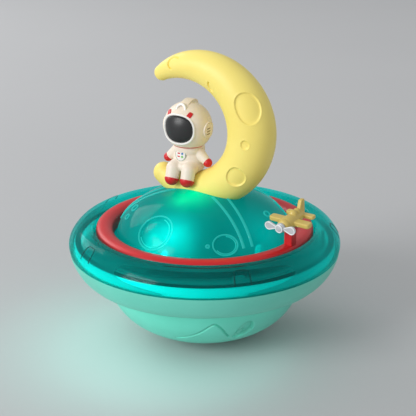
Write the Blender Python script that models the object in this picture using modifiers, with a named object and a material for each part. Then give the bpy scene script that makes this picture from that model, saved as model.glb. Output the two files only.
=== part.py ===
"""Light-up spinning top: a saucer that spins on a ball-bearing foot, with a moon, a seated figure
and a toy plane on a ring that circles the dome.

Lengths below are in millimetres and are turned into metres when a mesh is made. The origin is on the
spin axis, on the surface that the top stands on. The moon and the figure face -Y.
"""

import math

import bmesh
import bpy
from mathutils import Matrix, Vector

MM = 0.001
GAP = 0.3  # clearance kept between neighbouring pieces

# Saucer
SEGMENTS = 40  # steps of a full turn on the large shells, a multiple of four
SAUCER_R = 75.0
SEAM_Z = 51.8  # joint between the clear rim and the skirt
BOWL_R = 54.4
BOWL_TOP_Z = SEAM_Z - 14.0
BOWL_DEPTH = 36.4
BOWL_POWER = 2.3  # roundness of the bowl: 2 is an ellipse
BOWL_WALL = 2.2
FOOT_HOLE_R = 16.2
DECK_Z = 48.6
DECK_THICK = 1.8
RIM_LIP_R = 61.0
FLANGE_Z = 54.2  # underside of the ledge that carries the orbit ring

# Dome and lamp drum
DOME_R = 48.8
DOME_Z = SEAM_Z + 6.0
DOME_HEIGHT = 28.4
DOME_POWER = 1.95
DOME_WALL = 2.0
DRUM_R = 26.0
DRUM_TOP_Z = 76.3

# Bearing foot
FOOT_R = 15.5
PAD_R = 14.5
PAD_THICK = 1.2
SPINDLE_R = 1.95
BEARING_R = 6.5
BEARING_Z = 6.8
BEARING_WIDTH = 5.0

# Moon: a tube whose centre line is part of an ellipse in the XZ plane
MOON_X = -6.5
MOON_Z = SEAM_Z + 66.2
MOON_A = 34.6
MOON_B = 33.8
MOON_TOP_TIP = math.radians(123.5)
MOON_LOW_TIP = math.radians(-124.5)
MOON_MAX_HALF = 13.1
MOON_TOP_HALF = 4.2
MOON_LOW_HALF = 6.0
MOON_TAPER = 1.8
MOON_DEPTH_RATIO = 0.92
MOON_WALL = 1.8
MOON_BASE_Z = DRUM_TOP_Z + GAP
MOON_SCREWS_X = (-10.0, -3.0)

# Figure
FIGURE_X = -9.5
HEAD_Z = 119.7
HEAD_RADII = (12.7, 12.0, 13.0)
NECK_Z = 108.5

# Orbit ring and plane
RING_OUT_R = 60.0
RING_IN_R = 50.7
RING_FLOOR_Z = 56.6
RING_TOP_Z = 65.3
PLANE_ANGLE = math.radians(-9.0)
PLANE_R = 57.0
PLANE_Z = 78.8
PLANE_DIVE = math.radians(5)
NOSE_REACH = 10.2
POST_SIDE = 4.8
POST_DROP = 4.5  # from the middle of the plane down to the top of its post
PROPELLER_REACH = 6.5

# Power and light
CLIP_ANGLES = [math.radians(-119 + 72 * k) for k in range(5)]
SCREW_ANGLES = [math.radians(45 + 90 * k) for k in range(4)]
SCREW_CIRCLE_R = 58.2
LED_ANGLES = [math.radians(-97 + 90 * k) for k in range(4)]
LED_CIRCLE_R = 36.0
HATCH_ANGLE = math.radians(75)
HATCH_CIRCLE_R = 38.0
HATCH_R = 11.0
CELL_R = 5.8
CELL_LENGTH = 5.4
CELL_START = 4.4  # from the outer skin of the bowl to the first cell
HATCH_SCREW_X = 8.0  # off the middle of the hatch, opposite the cells
CELLS_X = -2.2
BUTTON_ANGLE = math.radians(130)
BUTTON_CIRCLE_R = 44.0
BUTTON_R = 4.2
BUTTON_HOLE_R = 4.6


# ---------------------------------------------------------------- scene helpers

def clear_scene():
    for obj in list(bpy.data.objects):
        bpy.data.objects.remove(obj, do_unlink=True)


def new_collection(name):
    coll = bpy.data.collections.new(name)
    bpy.context.scene.collection.children.link(coll)
    return coll


def linear(channel):
    channel /= 255
    return channel / 12.92 if channel <= 0.04045 else ((channel + 0.055) / 1.055) ** 2.4


def material(name, rgb, roughness, metallic=0.0, clear=0.0, glow=0.0):
    mat = bpy.data.materials.new(name)
    mat.use_nodes = True
    shader = mat.node_tree.nodes["Principled BSDF"]
    color = (*[linear(c) for c in rgb], 1.0)
    shader.inputs["Base Color"].default_value = color
    shader.inputs["Roughness"].default_value = roughness
    shader.inputs["Metallic"].default_value = metallic
    shader.inputs["Transmission Weight"].default_value = clear
    shader.inputs["Emission Color"].default_value = color
    shader.inputs["Emission Strength"].default_value = glow
    mat.diffuse_color = color
    return mat


def add_object(name, mesh, mat, parent, coll):
    obj = bpy.data.objects.new(name, mesh)
    coll.objects.link(obj)
    if mat:
        mesh.materials.append(mat)
        for face in mesh.polygons:
            face.use_smooth = True
    obj.parent = parent
    return obj


def part(name, mesh, mat, parent):
    return add_object(name, mesh, mat, parent, PARTS)


def cutter(name, mesh):
    obj = add_object(name, mesh, None, None, CUTTERS)
    obj.hide_render = True
    obj.display_type = "WIRE"
    return obj


def empty(name, parent=None, matrix=None):
    obj = bpy.data.objects.new(name, None)
    PARTS.objects.link(obj)
    obj.parent = parent
    obj.matrix_basis = matrix or Matrix.Identity(4)
    return obj


def boolean(obj, tool, operation="DIFFERENCE"):
    mod = obj.modifiers.new(f"{operation.lower()} {tool.name}", "BOOLEAN")
    mod.operation = operation
    mod.solver = "EXACT"
    mod.object = tool


def bevel(obj, width, segments=1):
    mod = obj.modifiers.new("bevel", "BEVEL")
    mod.width = width * MM
    mod.segments = segments
    mod.limit_method = "ANGLE"


# ---------------------------------------------------------------- mesh helpers

def mesh_of(name, bm):
    bmesh.ops.recalc_face_normals(bm, faces=bm.faces)
    mesh = bpy.data.meshes.new(name)
    bm.to_mesh(mesh)
    bm.free()
    return mesh


def to_metres(bm):
    bmesh.ops.scale(bm, vec=(MM, MM, MM), verts=bm.verts)


def box_mesh(name, size):
    bm = bmesh.new()
    bmesh.ops.create_cube(bm, size=1)
    bmesh.ops.scale(bm, vec=size, verts=bm.verts)
    to_metres(bm)
    return mesh_of(name, bm)


def rod_mesh(name, radius, low, high, segments=20):
    """A cylinder on the local Z axis, from low to high."""
    bm = bmesh.new()
    bmesh.ops.create_cone(bm, cap_ends=True, segments=segments, radius1=radius, radius2=radius,
                          depth=high - low)
    bmesh.ops.translate(bm, vec=(0, 0, (high + low) / 2), verts=bm.verts)
    to_metres(bm)
    return mesh_of(name, bm)


def ellipsoid_mesh(name, radii, segments=20, rings=12):
    bm = bmesh.new()
    bmesh.ops.create_uvsphere(bm, u_segments=segments, v_segments=rings, radius=1)
    bmesh.ops.scale(bm, vec=radii, verts=bm.verts)
    to_metres(bm)
    return mesh_of(name, bm)


def hull_mesh(name, bm):
    """The convex hull of everything in bm."""
    bmesh.ops.delete(bm, geom=bm.edges[:], context="EDGES_FACES")
    bmesh.ops.convex_hull(bm, input=bm.verts)
    loose = [v for v in bm.verts if not v.link_faces]
    bmesh.ops.delete(bm, geom=loose, context="VERTS")
    to_metres(bm)
    return mesh_of(name, bm)


def limb_mesh(name, start, start_r, end, end_r):
    """A round-ended limb: the hull of a ball at each end."""
    bm = bmesh.new()
    for centre, radius in ((start, start_r), (end, end_r)):
        bmesh.ops.create_icosphere(bm, subdivisions=1, radius=radius,
                                   matrix=Matrix.Translation(centre))
    return hull_mesh(name, bm)


def slab_mesh(name, discs, thickness, segments=10):
    """A flat plate: the hull of upright discs, each given as x, y and radius."""
    bm = bmesh.new()
    for x, y, radius in discs:
        bmesh.ops.create_cone(bm, cap_ends=True, segments=segments, radius1=radius,
                              radius2=radius, depth=thickness, matrix=Matrix.Translation((x, y, 0)))
    return hull_mesh(name, bm)


def turned(name, profile, mat, parent, steps=SEGMENTS, closed=True):
    """A turned piece from (radius, height) points: a closed outline, or one from axis to axis."""
    if closed:
        pairs = zip(profile, profile[1:] + profile[:1])
        if sum(r1 * z2 - r2 * z1 for (r1, z1), (r2, z2) in pairs) > 0:
            profile = profile[::-1]
    count = len(profile)
    mesh = bpy.data.meshes.new(name)
    edges = [(k, (k + 1) % count) for k in range(count if closed else count - 1)]
    mesh.from_pydata([(r * MM, 0, z * MM) for r, z in profile], edges, [])
    obj = part(name, mesh, mat, parent)
    screw = obj.modifiers.new("turn", "SCREW")
    screw.axis = "Z"
    screw.angle = math.tau
    screw.steps = steps
    screw.render_steps = steps
    screw.use_merge_vertices = True
    screw.merge_threshold = 0.00002
    screw.use_smooth_shade = True
    return obj


def arc(centre_r, centre_z, radius_r, radius_z, start, end, count, power=2.0):
    """Points of a (super)ellipse arc in a profile, angles in degrees from the outward axis."""
    points = []
    for k in range(count):
        angle = math.radians(start + (end - start) * k / (count - 1))
        c, s = math.cos(angle), math.sin(angle)
        r = math.copysign(abs(c) ** (2 / power), c) if abs(c) > 1e-9 else 0.0
        z = math.copysign(abs(s) ** (2 / power), s) if abs(s) > 1e-9 else 0.0
        points.append((centre_r + radius_r * r, centre_z + radius_z * z))
    return points


def polar(radius, angle, z=0.0):
    return Vector((radius * math.cos(angle), radius * math.sin(angle), z))


def placed(position, z_axis=(0, 0, 1), x_axis=(1, 0, 0)):
    """A matrix that puts local Z along z_axis, with local X as near x_axis as it can be."""
    z_dir = Vector(z_axis).normalized()
    y_dir = z_dir.cross(Vector(x_axis)).normalized()
    x_dir = y_dir.cross(z_dir)
    rotation = Matrix((x_dir, y_dir, z_dir)).transposed().to_4x4()
    return Matrix.Translation(Vector(position) * MM) @ rotation


# ---------------------------------------------------------------- materials

def make_materials():
    return {
        "mint": material("mint_plastic", (110, 205, 180), 0.35),
        "clear_teal": material("clear_teal_plastic", (0, 165, 155), 0.08, clear=0.8),
        "red": material("red_plastic", (214, 48, 52), 0.3),
        "yellow": material("yellow_plastic", (250, 228, 120), 0.4),
        "cream": material("cream_vinyl", (243, 232, 218), 0.45),
        "black": material("black_gloss", (28, 28, 30), 0.12),
        "silver": material("silver_paint", (200, 205, 208), 0.3, metallic=0.6),
        "steel": material("steel", (170, 172, 175), 0.3, metallic=1.0),
        "rubber": material("grey_rubber", (70, 74, 76), 0.8),
        "white": material("white_plastic", (235, 238, 235), 0.4),
        "board": material("circuit_board", (20, 90, 60), 0.5),
        "chip": material("chip_black", (25, 25, 28), 0.5),
        "glow": material("glow_plastic", (60, 255, 240), 0.3, clear=0.3, glow=1.0),
        "green_glow": material("green_glow", (60, 255, 150), 0.3, clear=0.3, glow=1.0),
        "cell": material("cell_nickel", (190, 188, 180), 0.25, metallic=1.0),
    }


# ---------------------------------------------------------------- foot and bearing

def make_foot(mats, axis):
    pad = [(0, PAD_THICK), (PAD_R - 0.3, PAD_THICK), (PAD_R, PAD_THICK - 0.3), (PAD_R, 0.3),
           (PAD_R - 0.3, 0), (0, 0)]
    turned("foot_pad", pad, mats["rubber"], axis, 28, closed=False)

    low = PAD_THICK + GAP
    bore_r = SPINDLE_R + GAP
    hub_top = BEARING_Z - GAP
    disc = [(0, low + 1.1), (bore_r, low + 1.1), (bore_r, hub_top), (3.4, hub_top), (3.4, 5.0),
            (FOOT_R - 0.4, 5.0), (FOOT_R, 4.6), (FOOT_R, low + 0.4), (FOOT_R - 0.4, low), (0, low)]
    turned("foot_disc", disc, mats["white"], axis, 28, closed=False)

    groove = BEARING_Z + BEARING_WIDTH + 0.4
    top = groove + 1.6
    pin = [(0, top), (1.5, top), (SPINDLE_R, top - 0.4), (SPINDLE_R, groove + 0.8),
           (1.5, groove + 0.8), (1.5, groove), (SPINDLE_R, groove), (SPINDLE_R, low + 1.4),
           (0, low + 1.4)]
    turned("spindle", pin, mats["steel"], axis, 12, closed=False)
    clip = [(1.75, groove + 0.6), (3.5, groove + 0.6), (3.5, groove + 0.2), (1.75, groove + 0.2)]
    turned("spindle_clip", clip, mats["steel"], axis, 12)
    race(mats, axis, "bearing_inner_race", SPINDLE_R + 0.2, 3.3)


def race(mats, parent, name, inner, outer):
    top = BEARING_Z + BEARING_WIDTH
    ring = [(inner, top), (outer, top), (outer, BEARING_Z), (inner, BEARING_Z)]
    turned(name, ring, mats["steel"], parent, 20)


def make_bearing_top(mats, axis):
    race(mats, axis, "bearing_outer_race", 5.2, BEARING_R)
    balls = arc(4.25, BEARING_Z + BEARING_WIDTH / 2, 0.75, 0.75, 0, -300, 6)
    turned("bearing_balls", balls, mats["steel"], axis, 20)


# ---------------------------------------------------------------- lower casing

def bowl_profile():
    """Flange, bowl wall and the hub that holds the bearing."""
    flange_low = BOWL_TOP_Z + 2.8
    flange_top = flange_low + 2.0
    outer = arc(0, BOWL_TOP_Z, BOWL_R, BOWL_DEPTH, 0, -73, 8, BOWL_POWER)
    inner_r = BOWL_R - BOWL_WALL
    inner = arc(0, BOWL_TOP_Z, inner_r, BOWL_DEPTH - BOWL_WALL, -62, 0, 7, BOWL_POWER)
    foot_z = BOWL_TOP_Z - BOWL_DEPTH
    seat_top = BEARING_Z + BEARING_WIDTH + GAP
    hub = [(FOOT_HOLE_R + 0.9, foot_z), (FOOT_HOLE_R, foot_z + 0.4), (FOOT_HOLE_R, 5.7),
           (BEARING_R + GAP, 5.7), (BEARING_R + GAP, seat_top), (5.0, seat_top),
           (5.0, seat_top + 2.0), (9.0, seat_top + 2.0), (9.0, 7.9), (18.6, 7.9)]
    return [(63.0, flange_top), (63.0, flange_low), (BOWL_R + 0.2, flange_low)] + outer + hub \
        + inner + [(inner_r, flange_top)]


def bowl_normal(circle_r):
    """Height and outward normal (radial, vertical) of the bowl's skin at a radius."""
    share = circle_r / BOWL_R
    drop = (1 - share ** BOWL_POWER) ** (1 / BOWL_POWER)
    slope = BOWL_POWER - 1
    normal = Vector((share ** slope / BOWL_R, -drop ** slope / BOWL_DEPTH)).normalized()
    return BOWL_TOP_Z - BOWL_DEPTH * drop, normal


def skin_frame(circle_r, angle):
    """A frame on the bowl's skin whose Z points out of the bowl."""
    z, normal = bowl_normal(circle_r)
    direction = polar(normal.x, angle, normal.y)
    return placed(polar(circle_r, angle, z), direction, polar(1, angle + math.pi / 2))


def make_skirt(mats, axis):
    low = SEAM_Z - 13.8
    floor = low + 2.2
    outer = arc(66.6, SEAM_Z - 0.3, SAUCER_R - 0.5 - 66.6, 13.2, 0, -80, 6, 1.45)
    inner = [(64.9, floor), (68.4, low + 4.9), (70.4, low + 8.2), (71.7, low + 11.2),
             (72.3, SEAM_Z - 0.3)]
    skirt = turned("skirt", outer + [(66.3, low), (55.2, low), (55.2, floor)] + inner,
                   mats["mint"], axis)
    for k, angle in enumerate(SCREW_ANGLES):
        tool = cutter(f"skirt_hole_{k + 1}", rod_mesh("hole", 2.8, low - 1, floor + 1, 10))
        tool.matrix_basis = Matrix.Translation(polar(SCREW_CIRCLE_R, angle) * MM)
        boolean(skirt, tool)


def make_bowl(mats, axis):
    bowl = turned("base_bowl", bowl_profile(), mats["mint"], axis)
    flange = BOWL_TOP_Z + 3.8
    for k, angle in enumerate(SCREW_ANGLES):
        tool = cutter(f"bowl_hole_{k + 1}", rod_mesh("hole", 1.8, flange - 3, flange + 3, 8))
        tool.matrix_basis = Matrix.Translation(polar(SCREW_CIRCLE_R, angle) * MM)
        boolean(bowl, tool)
    for name, circle_r, angle, radius in (("hatch_hole", HATCH_CIRCLE_R, HATCH_ANGLE, HATCH_R),
                                          ("button_hole", BUTTON_CIRCLE_R, BUTTON_ANGLE,
                                           BUTTON_HOLE_R)):
        tool = cutter(name, rod_mesh(name, radius, -6, 4, 24))
        tool.matrix_basis = skin_frame(circle_r, angle)
        boolean(bowl, tool)


def make_flywheel(mats, axis):
    ring = [(61.2, 46.6), (66.2, 46.6), (66.2, 43.4), (65.6, 43.0), (61.2, 43.0)]
    turned("flywheel_ring", ring, mats["steel"], axis, 32)


def make_deck(mats, axis):
    """Plate that ties the casings together, with a screw post at each casing screw."""
    top = DECK_Z + DECK_THICK
    deck = turned("light_deck", [(8, top), (70.4, top), (70.4, DECK_Z), (8, DECK_Z)],
                  mats["white"], axis, 32)
    for k, angle in enumerate(SCREW_ANGLES):
        post = cutter(f"deck_post_{k + 1}", rod_mesh("post", 2.8, 43.0, top - 0.5, 8))
        hole = cutter(f"deck_hole_{k + 1}", rod_mesh("hole", 1.7, 40.0, top - 1.0, 8))
        for tool, operation in ((post, "UNION"), (hole, "DIFFERENCE")):
            tool.matrix_basis = Matrix.Translation(polar(SCREW_CIRCLE_R, angle) * MM)
            boolean(deck, tool, operation)
    return deck


def make_screw(name, mats, parent, matrix, head_r, shaft_r, length):
    """A pan-head screw: its head is at local zero and its shaft runs up local Z."""
    profile = [(0, length), (shaft_r * 0.6, length), (shaft_r, length - 1.0), (shaft_r, 1.4),
               (head_r, 1.4), (head_r, 0.4), (head_r - 0.5, 0), (0, 0)]
    screw = turned(name, profile, mats["steel"], parent, 8, closed=False)
    screw.matrix_basis = matrix
    return screw


def make_casing_screws(mats, axis):
    for k, angle in enumerate(SCREW_ANGLES):
        matrix = Matrix.Translation(polar(SCREW_CIRCLE_R, angle, 38.5) * MM)
        make_screw(f"casing_screw_{k + 1}", mats, axis, matrix, 2.4, 1.25, 10.2)


# ---------------------------------------------------------------- upper casing

def make_rim(mats, axis):
    z = SEAM_Z
    outer = [(74.5, z + 0.2), (SAUCER_R, z + 3.0), (74.6, z + 5.8), (73.3, z + 8.4),
             (71.1, z + 11.2), (68.8, z + 13.1), (66.2, z + 14.0), (63.6, z + 13.8),
             (61.7, z + 12.9), (RIM_LIP_R, z + 11.5), (RIM_LIP_R, z + 5.0)]
    inner = [(RIM_LIP_R + 1.6, z + 5.0), (RIM_LIP_R + 1.6, z + 11.2), (64.0, z + 12.1),
             (66.1, z + 12.3), (68.0, z + 11.6), (69.9, z + 9.9), (71.7, z + 7.5),
             (72.8, z + 5.4), (73.2, z + 3.0), (72.7, z + 0.2)]
    turned("clear_rim", outer + inner, mats["clear_teal"], axis)


def make_light_guide(mats, axis):
    ring = [(68.6, SEAM_Z + 5.4), (71.2, SEAM_Z + 5.4), (71.2, 50.8), (68.6, 50.8)]
    turned("light_guide_ring", ring, mats["glow"], axis, 40)


def make_clips(mats, axis):
    """Hooked clips that hold the rim down to the deck."""
    for k, angle in enumerate(CLIP_ANGLES):
        clip = part(f"rim_clip_{k + 1}", box_mesh("clip", (1.6, 6.0, 9.0)), mats["clear_teal"], axis)
        clip.matrix_basis = placed(polar(65.4, angle, 55.4), (0, 0, 1), polar(1, angle))
        bevel(clip, 0.4)


def dome_profile():
    outer = arc(0, DOME_Z, DOME_R, DOME_HEIGHT, 90, 0, 9, DOME_POWER)
    inner = arc(0, DOME_Z, DOME_R - DOME_WALL, DOME_HEIGHT - DOME_WALL, 0, 90, 8, DOME_POWER)
    flange_top = FLANGE_Z + 2.0
    foot = DECK_Z + DECK_THICK + GAP
    return outer + [(DOME_R, flange_top), (62.4, flange_top), (62.4, FLANGE_Z),
                    (DOME_R, FLANGE_Z), (DOME_R, foot), (DOME_R - DOME_WALL, foot)] + inner


def make_dome(mats, axis, moon_tool):
    dome = turned("dome", dome_profile(), mats["clear_teal"], axis, closed=False)
    boolean(dome, moon_tool)


def make_drum(mats, axis, moon_holes):
    low = 52.6
    wall = 1.5
    drum = turned("lamp_drum", [(0, DRUM_TOP_Z), (DRUM_R - 1, DRUM_TOP_Z), (DRUM_R, DRUM_TOP_Z - 1),
                                (DRUM_R, low), (DRUM_R - wall, low),
                                (DRUM_R - wall, DRUM_TOP_Z - wall), (0, DRUM_TOP_Z - wall)],
                  mats["white"], axis, 24, closed=False)
    for tool in moon_holes:
        boolean(drum, tool)


# ---------------------------------------------------------------- lights and electronics

def make_lights(mats, axis):
    low = DECK_Z + DECK_THICK + GAP
    top = low + 1.6
    turned("led_board", [(0, top), (44, top), (44, low), (0, low)], mats["board"], axis, 24,
           closed=False)
    for k, angle in enumerate(LED_ANGLES):
        make_led(f"led_{k + 1}", mats["glow"], axis, polar(LED_CIRCLE_R, angle, top + GAP), 2.5, 7.0)
    make_led("centre_led", mats["green_glow"], axis, Vector((0, 0, top + GAP)), 4.0, 9.0)


def make_led(name, mat, parent, position, radius, height):
    """A domed lamp with a foot flange, standing on the board."""
    crown = arc(0, height - radius, radius, radius, 90, 0, 3)
    profile = crown + [(radius, 1.0), (radius + 0.5, 1.0), (radius + 0.5, 0), (0, 0)]
    led = turned(name, profile, mat, parent, 10, closed=False)
    led.matrix_basis = Matrix.Translation(position * MM)


def make_control_board(mats, axis, deck):
    """Board under the deck with its chip and the sensor that feels the spin."""
    top = DECK_Z - 3.0
    board = part("control_board", box_mesh("board", (42, 30, 1.6)), mats["board"], axis)
    board.location = Vector((-4, -8, top - 0.8)) * MM
    for k, x in enumerate((-20, 12)):
        hole = cutter(f"board_hole_{k + 1}", rod_mesh("hole", 1.5, -4, 4, 12))
        hole.location = Vector((x, -8, top)) * MM
        boolean(board, hole)
        bore = cutter(f"board_post_hole_{k + 1}", rod_mesh("hole", 1.3, top - 2, DECK_Z + 1.0, 12))
        bore.location = Vector((x, -8, 0)) * MM
        boolean(deck, bore)
        make_screw(f"board_screw_{k + 1}", mats, axis,
                   Matrix.Translation(Vector((x, -8, top - 3.4)) * MM), 2.2, 1.0, 6.8)
    chip = part("control_chip", box_mesh("chip", (8, 8, 1.6)), mats["chip"], axis)
    chip.location = Vector((-4, -12, top - 1.6 - GAP - 0.8)) * MM
    sensor = part("spin_sensor", rod_mesh("sensor", 2.4, -4.5, 4.5, 16), mats["cell"], axis)
    sensor.matrix_basis = placed((-4, 1, top - 1.6 - GAP - 2.4), (1, 0, 0), (0, 0, 1))


def make_battery(mats, axis):
    """Button cells in a tube behind a round screwed hatch in the bowl."""
    frame = skin_frame(HATCH_CIRCLE_R, HATCH_ANGLE)
    door = turned("battery_door", bowl_profile(), mats["mint"], axis)
    disc = cutter("door_disc", rod_mesh("disc", HATCH_R - GAP, -6, 4, 24))
    hole = cutter("door_screw_hole", rod_mesh("hole", 1.5, -6, 4, 8))
    boolean(door, disc, "INTERSECT")
    boolean(door, hole)
    disc.matrix_basis = frame
    hole.matrix_basis = frame @ Matrix.Translation(Vector((HATCH_SCREW_X, 0, 0)) * MM)
    make_screw("door_screw", mats, axis,
               frame @ placed((HATCH_SCREW_X, 0, 1.8), (0, 0, -1)), 2.2, 1.1, 9.0)
    frame = frame @ Matrix.Translation(Vector((CELLS_X, 0, 0)) * MM)

    depth = CELL_START + 3 * (CELL_LENGTH + GAP) + 2.4
    mouth = 4.2
    wall = [(0, -depth), (CELL_R + 0.4, -depth), (CELL_R + 0.4, -mouth), (CELL_R + 1.8, -mouth),
            (CELL_R + 1.8, -depth - 1.6), (0, -depth - 1.6)]
    cup = turned("battery_tube", wall, mats["white"], axis, 16, closed=False)
    cup.matrix_basis = frame
    for k in range(3):
        low = -(CELL_START + k * (CELL_LENGTH + GAP)) - CELL_LENGTH
        top = low + CELL_LENGTH
        cell = turned(f"button_cell_{k + 1}",
                      [(0, top), (CELL_R - 0.8, top), (CELL_R - 0.8, top - 0.6),
                       (CELL_R, top - 1.0), (CELL_R, low), (0, low)],
                      mats["cell"], axis, 14, closed=False)
        cell.matrix_basis = frame
    back = -depth + 0.3
    plate = turned("contact_plate", [(0, back + 0.4), (4.6, back + 0.4), (4.6, back), (0, back)],
                   mats["steel"], axis, 12, closed=False)
    plate.matrix_basis = frame
    coil = contact_coil("contact_spring", mats["steel"], axis, back + 0.7, 1.3)
    coil.matrix_basis = frame


def contact_coil(name, mat, parent, low, height):
    """A flat conical coil that presses the cells towards the hatch."""
    turns, per_turn, wire = 2.0, 8, 0.25
    curve = bpy.data.curves.new(name, "CURVE")
    curve.dimensions = "3D"
    curve.bevel_depth = wire * MM
    curve.bevel_resolution = 0
    curve.use_fill_caps = True
    spline = curve.splines.new("POLY")
    count = int(turns * per_turn) + 1
    spline.points.add(count - 1)
    for k in range(count):
        share = k / (count - 1)
        angle = math.tau * turns * share
        radius = 4.2 - 2.2 * share
        z = low + wire + (height - 2 * wire) * share
        spline.points[k].co = (*(polar(radius, angle, z) * MM), 1)
    obj = bpy.data.objects.new(name, curve)
    PARTS.objects.link(obj)
    curve.materials.append(mat)
    obj.parent = parent
    return obj


def make_button(mats, axis):
    """Push button through the bowl, and the switch body that its stem slides in."""
    frame = skin_frame(BUTTON_CIRCLE_R, BUTTON_ANGLE)
    slide = empty("button_axis", axis, frame)
    profile = [(0, 1.1), (2.6, 1.0), (3.7, 0.6), (BUTTON_R, -0.1), (BUTTON_R, -3.4), (5.6, -3.4),
               (5.6, -4.4), (1.4, -4.4), (1.4, -10.0), (0, -10.0)]
    turned("power_button", profile, mats["red"], slide, 16, closed=False)
    cup = [(0, -12.4), (1.8, -12.4), (1.8, -6.6), (4.6, -6.6), (4.6, -14.0), (0, -14.0)]
    body = turned("push_switch", cup, mats["chip"], axis, 12, closed=False)
    body.matrix_basis = frame


# ---------------------------------------------------------------- moon

def moon_half_width(share):
    """Half width of the crescent; share runs from -1 at the low tip to 1 at the top tip."""
    tip = MOON_LOW_HALF if share < 0 else MOON_TOP_HALF
    return tip + (MOON_MAX_HALF - tip) * (1 - abs(share) ** MOON_TAPER)


def moon_rings(grow, first, last, around, along=21, cap_rings=2):
    """Rings of points round the crescent's centre line, rounded off at both tips."""
    middle = (MOON_TOP_TIP + MOON_LOW_TIP) / 2
    half = (MOON_TOP_TIP - MOON_LOW_TIP) / 2
    stations = [(-1, k / cap_rings * math.pi / 2) for k in range(cap_rings, 0, -1)]
    stations += [(-1 + 2 * k / (along - 1), 0) for k in range(along)]
    stations += [(1, k / cap_rings * math.pi / 2) for k in range(1, cap_rings + 1)]
    rings = []
    for share, tilt in stations:
        angle = middle + half * share
        centre = Vector((MOON_X + MOON_A * math.cos(angle), 0, MOON_Z + MOON_B * math.sin(angle)))
        outward = Vector((MOON_B * math.cos(angle), 0, MOON_A * math.sin(angle))).normalized()
        along_dir = Vector((-MOON_A * math.sin(angle), 0, MOON_B * math.cos(angle))).normalized()
        width = moon_half_width(share) + grow
        depth = moon_half_width(share) * MOON_DEPTH_RATIO + grow
        centre += along_dir * math.copysign(width * math.sin(tilt), share)
        ring = []
        for k in range(around):
            turn = first + (last - first) * k / (around - 1)
            ring.append(centre + outward * (width * math.cos(tilt) * math.cos(turn))
                        + Vector((0, depth * math.cos(tilt) * math.sin(turn), 0)))
        rings.append(ring)
    return rings


def loft(name, rings, closed):
    """Skin over rings of points; the first and last ring are single tips."""
    bm = bmesh.new()
    rows = [[bm.verts.new(p) for p in ring] for ring in rings[1:-1]]
    tips = [bm.verts.new(rings[0][0]), bm.verts.new(rings[-1][0])]
    count = len(rows[0])
    spans = [(k, (k + 1) % count) for k in range(count if closed else count - 1)]
    for low, high in zip(rows, rows[1:]):
        for a, b in spans:
            bm.faces.new((low[a], low[b], high[b], high[a]))
    for a, b in spans:
        bm.faces.new((tips[0], rows[0][b], rows[0][a]))
        bm.faces.new((tips[1], rows[-1][a], rows[-1][b]))
    to_metres(bm)
    return bm


def solid_moon(name, grow):
    """The whole crescent as one solid, grown by a clearance."""
    rings = [ring[:-1] for ring in moon_rings(grow, 0, math.tau, 15)]
    return cutter(name, mesh_of(name, loft(name, rings, closed=True)))


def make_moon(mats, axis, moon_holes):
    """Two moulded half shells that meet in the XZ plane, flat underneath where they stand."""
    base = cutter("moon_base_cut", box_mesh("base", (90, 60, 20)))
    base.location = Vector((MOON_X, 0, MOON_BASE_Z - 10)) * MM
    for name, side in (("moon_front", -1), ("moon_back", 1)):
        rings = moon_rings(0, 0, side * math.pi, 8)
        half = part(name, mesh_of(name, loft(name, rings, closed=False)), mats["yellow"], axis)
        bm = bmesh.new()
        bm.from_mesh(half.data)
        outward = sum((f.normal.y * side * f.calc_area() for f in bm.faces), 0.0)
        if outward < 0:
            bmesh.ops.reverse_faces(bm, faces=bm.faces)
        bm.to_mesh(half.data)
        bm.free()
        shell = half.modifiers.new("shell", "SOLIDIFY")
        shell.thickness = MOON_WALL * MM
        shell.offset = -1
        parting = cutter(f"{name}_parting", box_mesh("parting", (120, 40, 120)))
        parting.location = Vector((0, side * (GAP / 2 - 20), MOON_Z)) * MM
        for tool in [parting, base] + moon_holes:
            boolean(half, tool)
    block = part("moon_mount", box_mesh("block", (13.0, 4.6, 4.6)), mats["white"], axis)
    block.location = Vector((MOON_X, 0, 81.6)) * MM
    for tool in moon_holes:
        boolean(block, tool)
    for k, x in enumerate(MOON_SCREWS_X):
        matrix = Matrix.Translation(Vector((x, 0, DRUM_TOP_Z - 1.5 - GAP - 1.4)) * MM)
        make_screw(f"moon_screw_{k + 1}", mats, axis, matrix, 2.2, 1.1, 8.6)


def moon_hole_cutters():
    tools = []
    for k, x in enumerate(MOON_SCREWS_X):
        tool = cutter(f"moon_hole_{k + 1}", rod_mesh("hole", 1.4, 70.0, 83.2, 12))
        tool.location = Vector((x, 0, 0)) * MM
        tools.append(tool)
    return tools


# ---------------------------------------------------------------- seated figure

def make_figure(mats, axis, moon_tool):
    """A vinyl figure: body with limbs, helmet, visor and backpack."""
    centre = Vector((FIGURE_X, -1, 0))
    make_figure_body(mats, axis, centre, moon_tool)
    head = make_helmet(mats, axis, centre)
    make_visor(mats, axis, centre, head)


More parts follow.
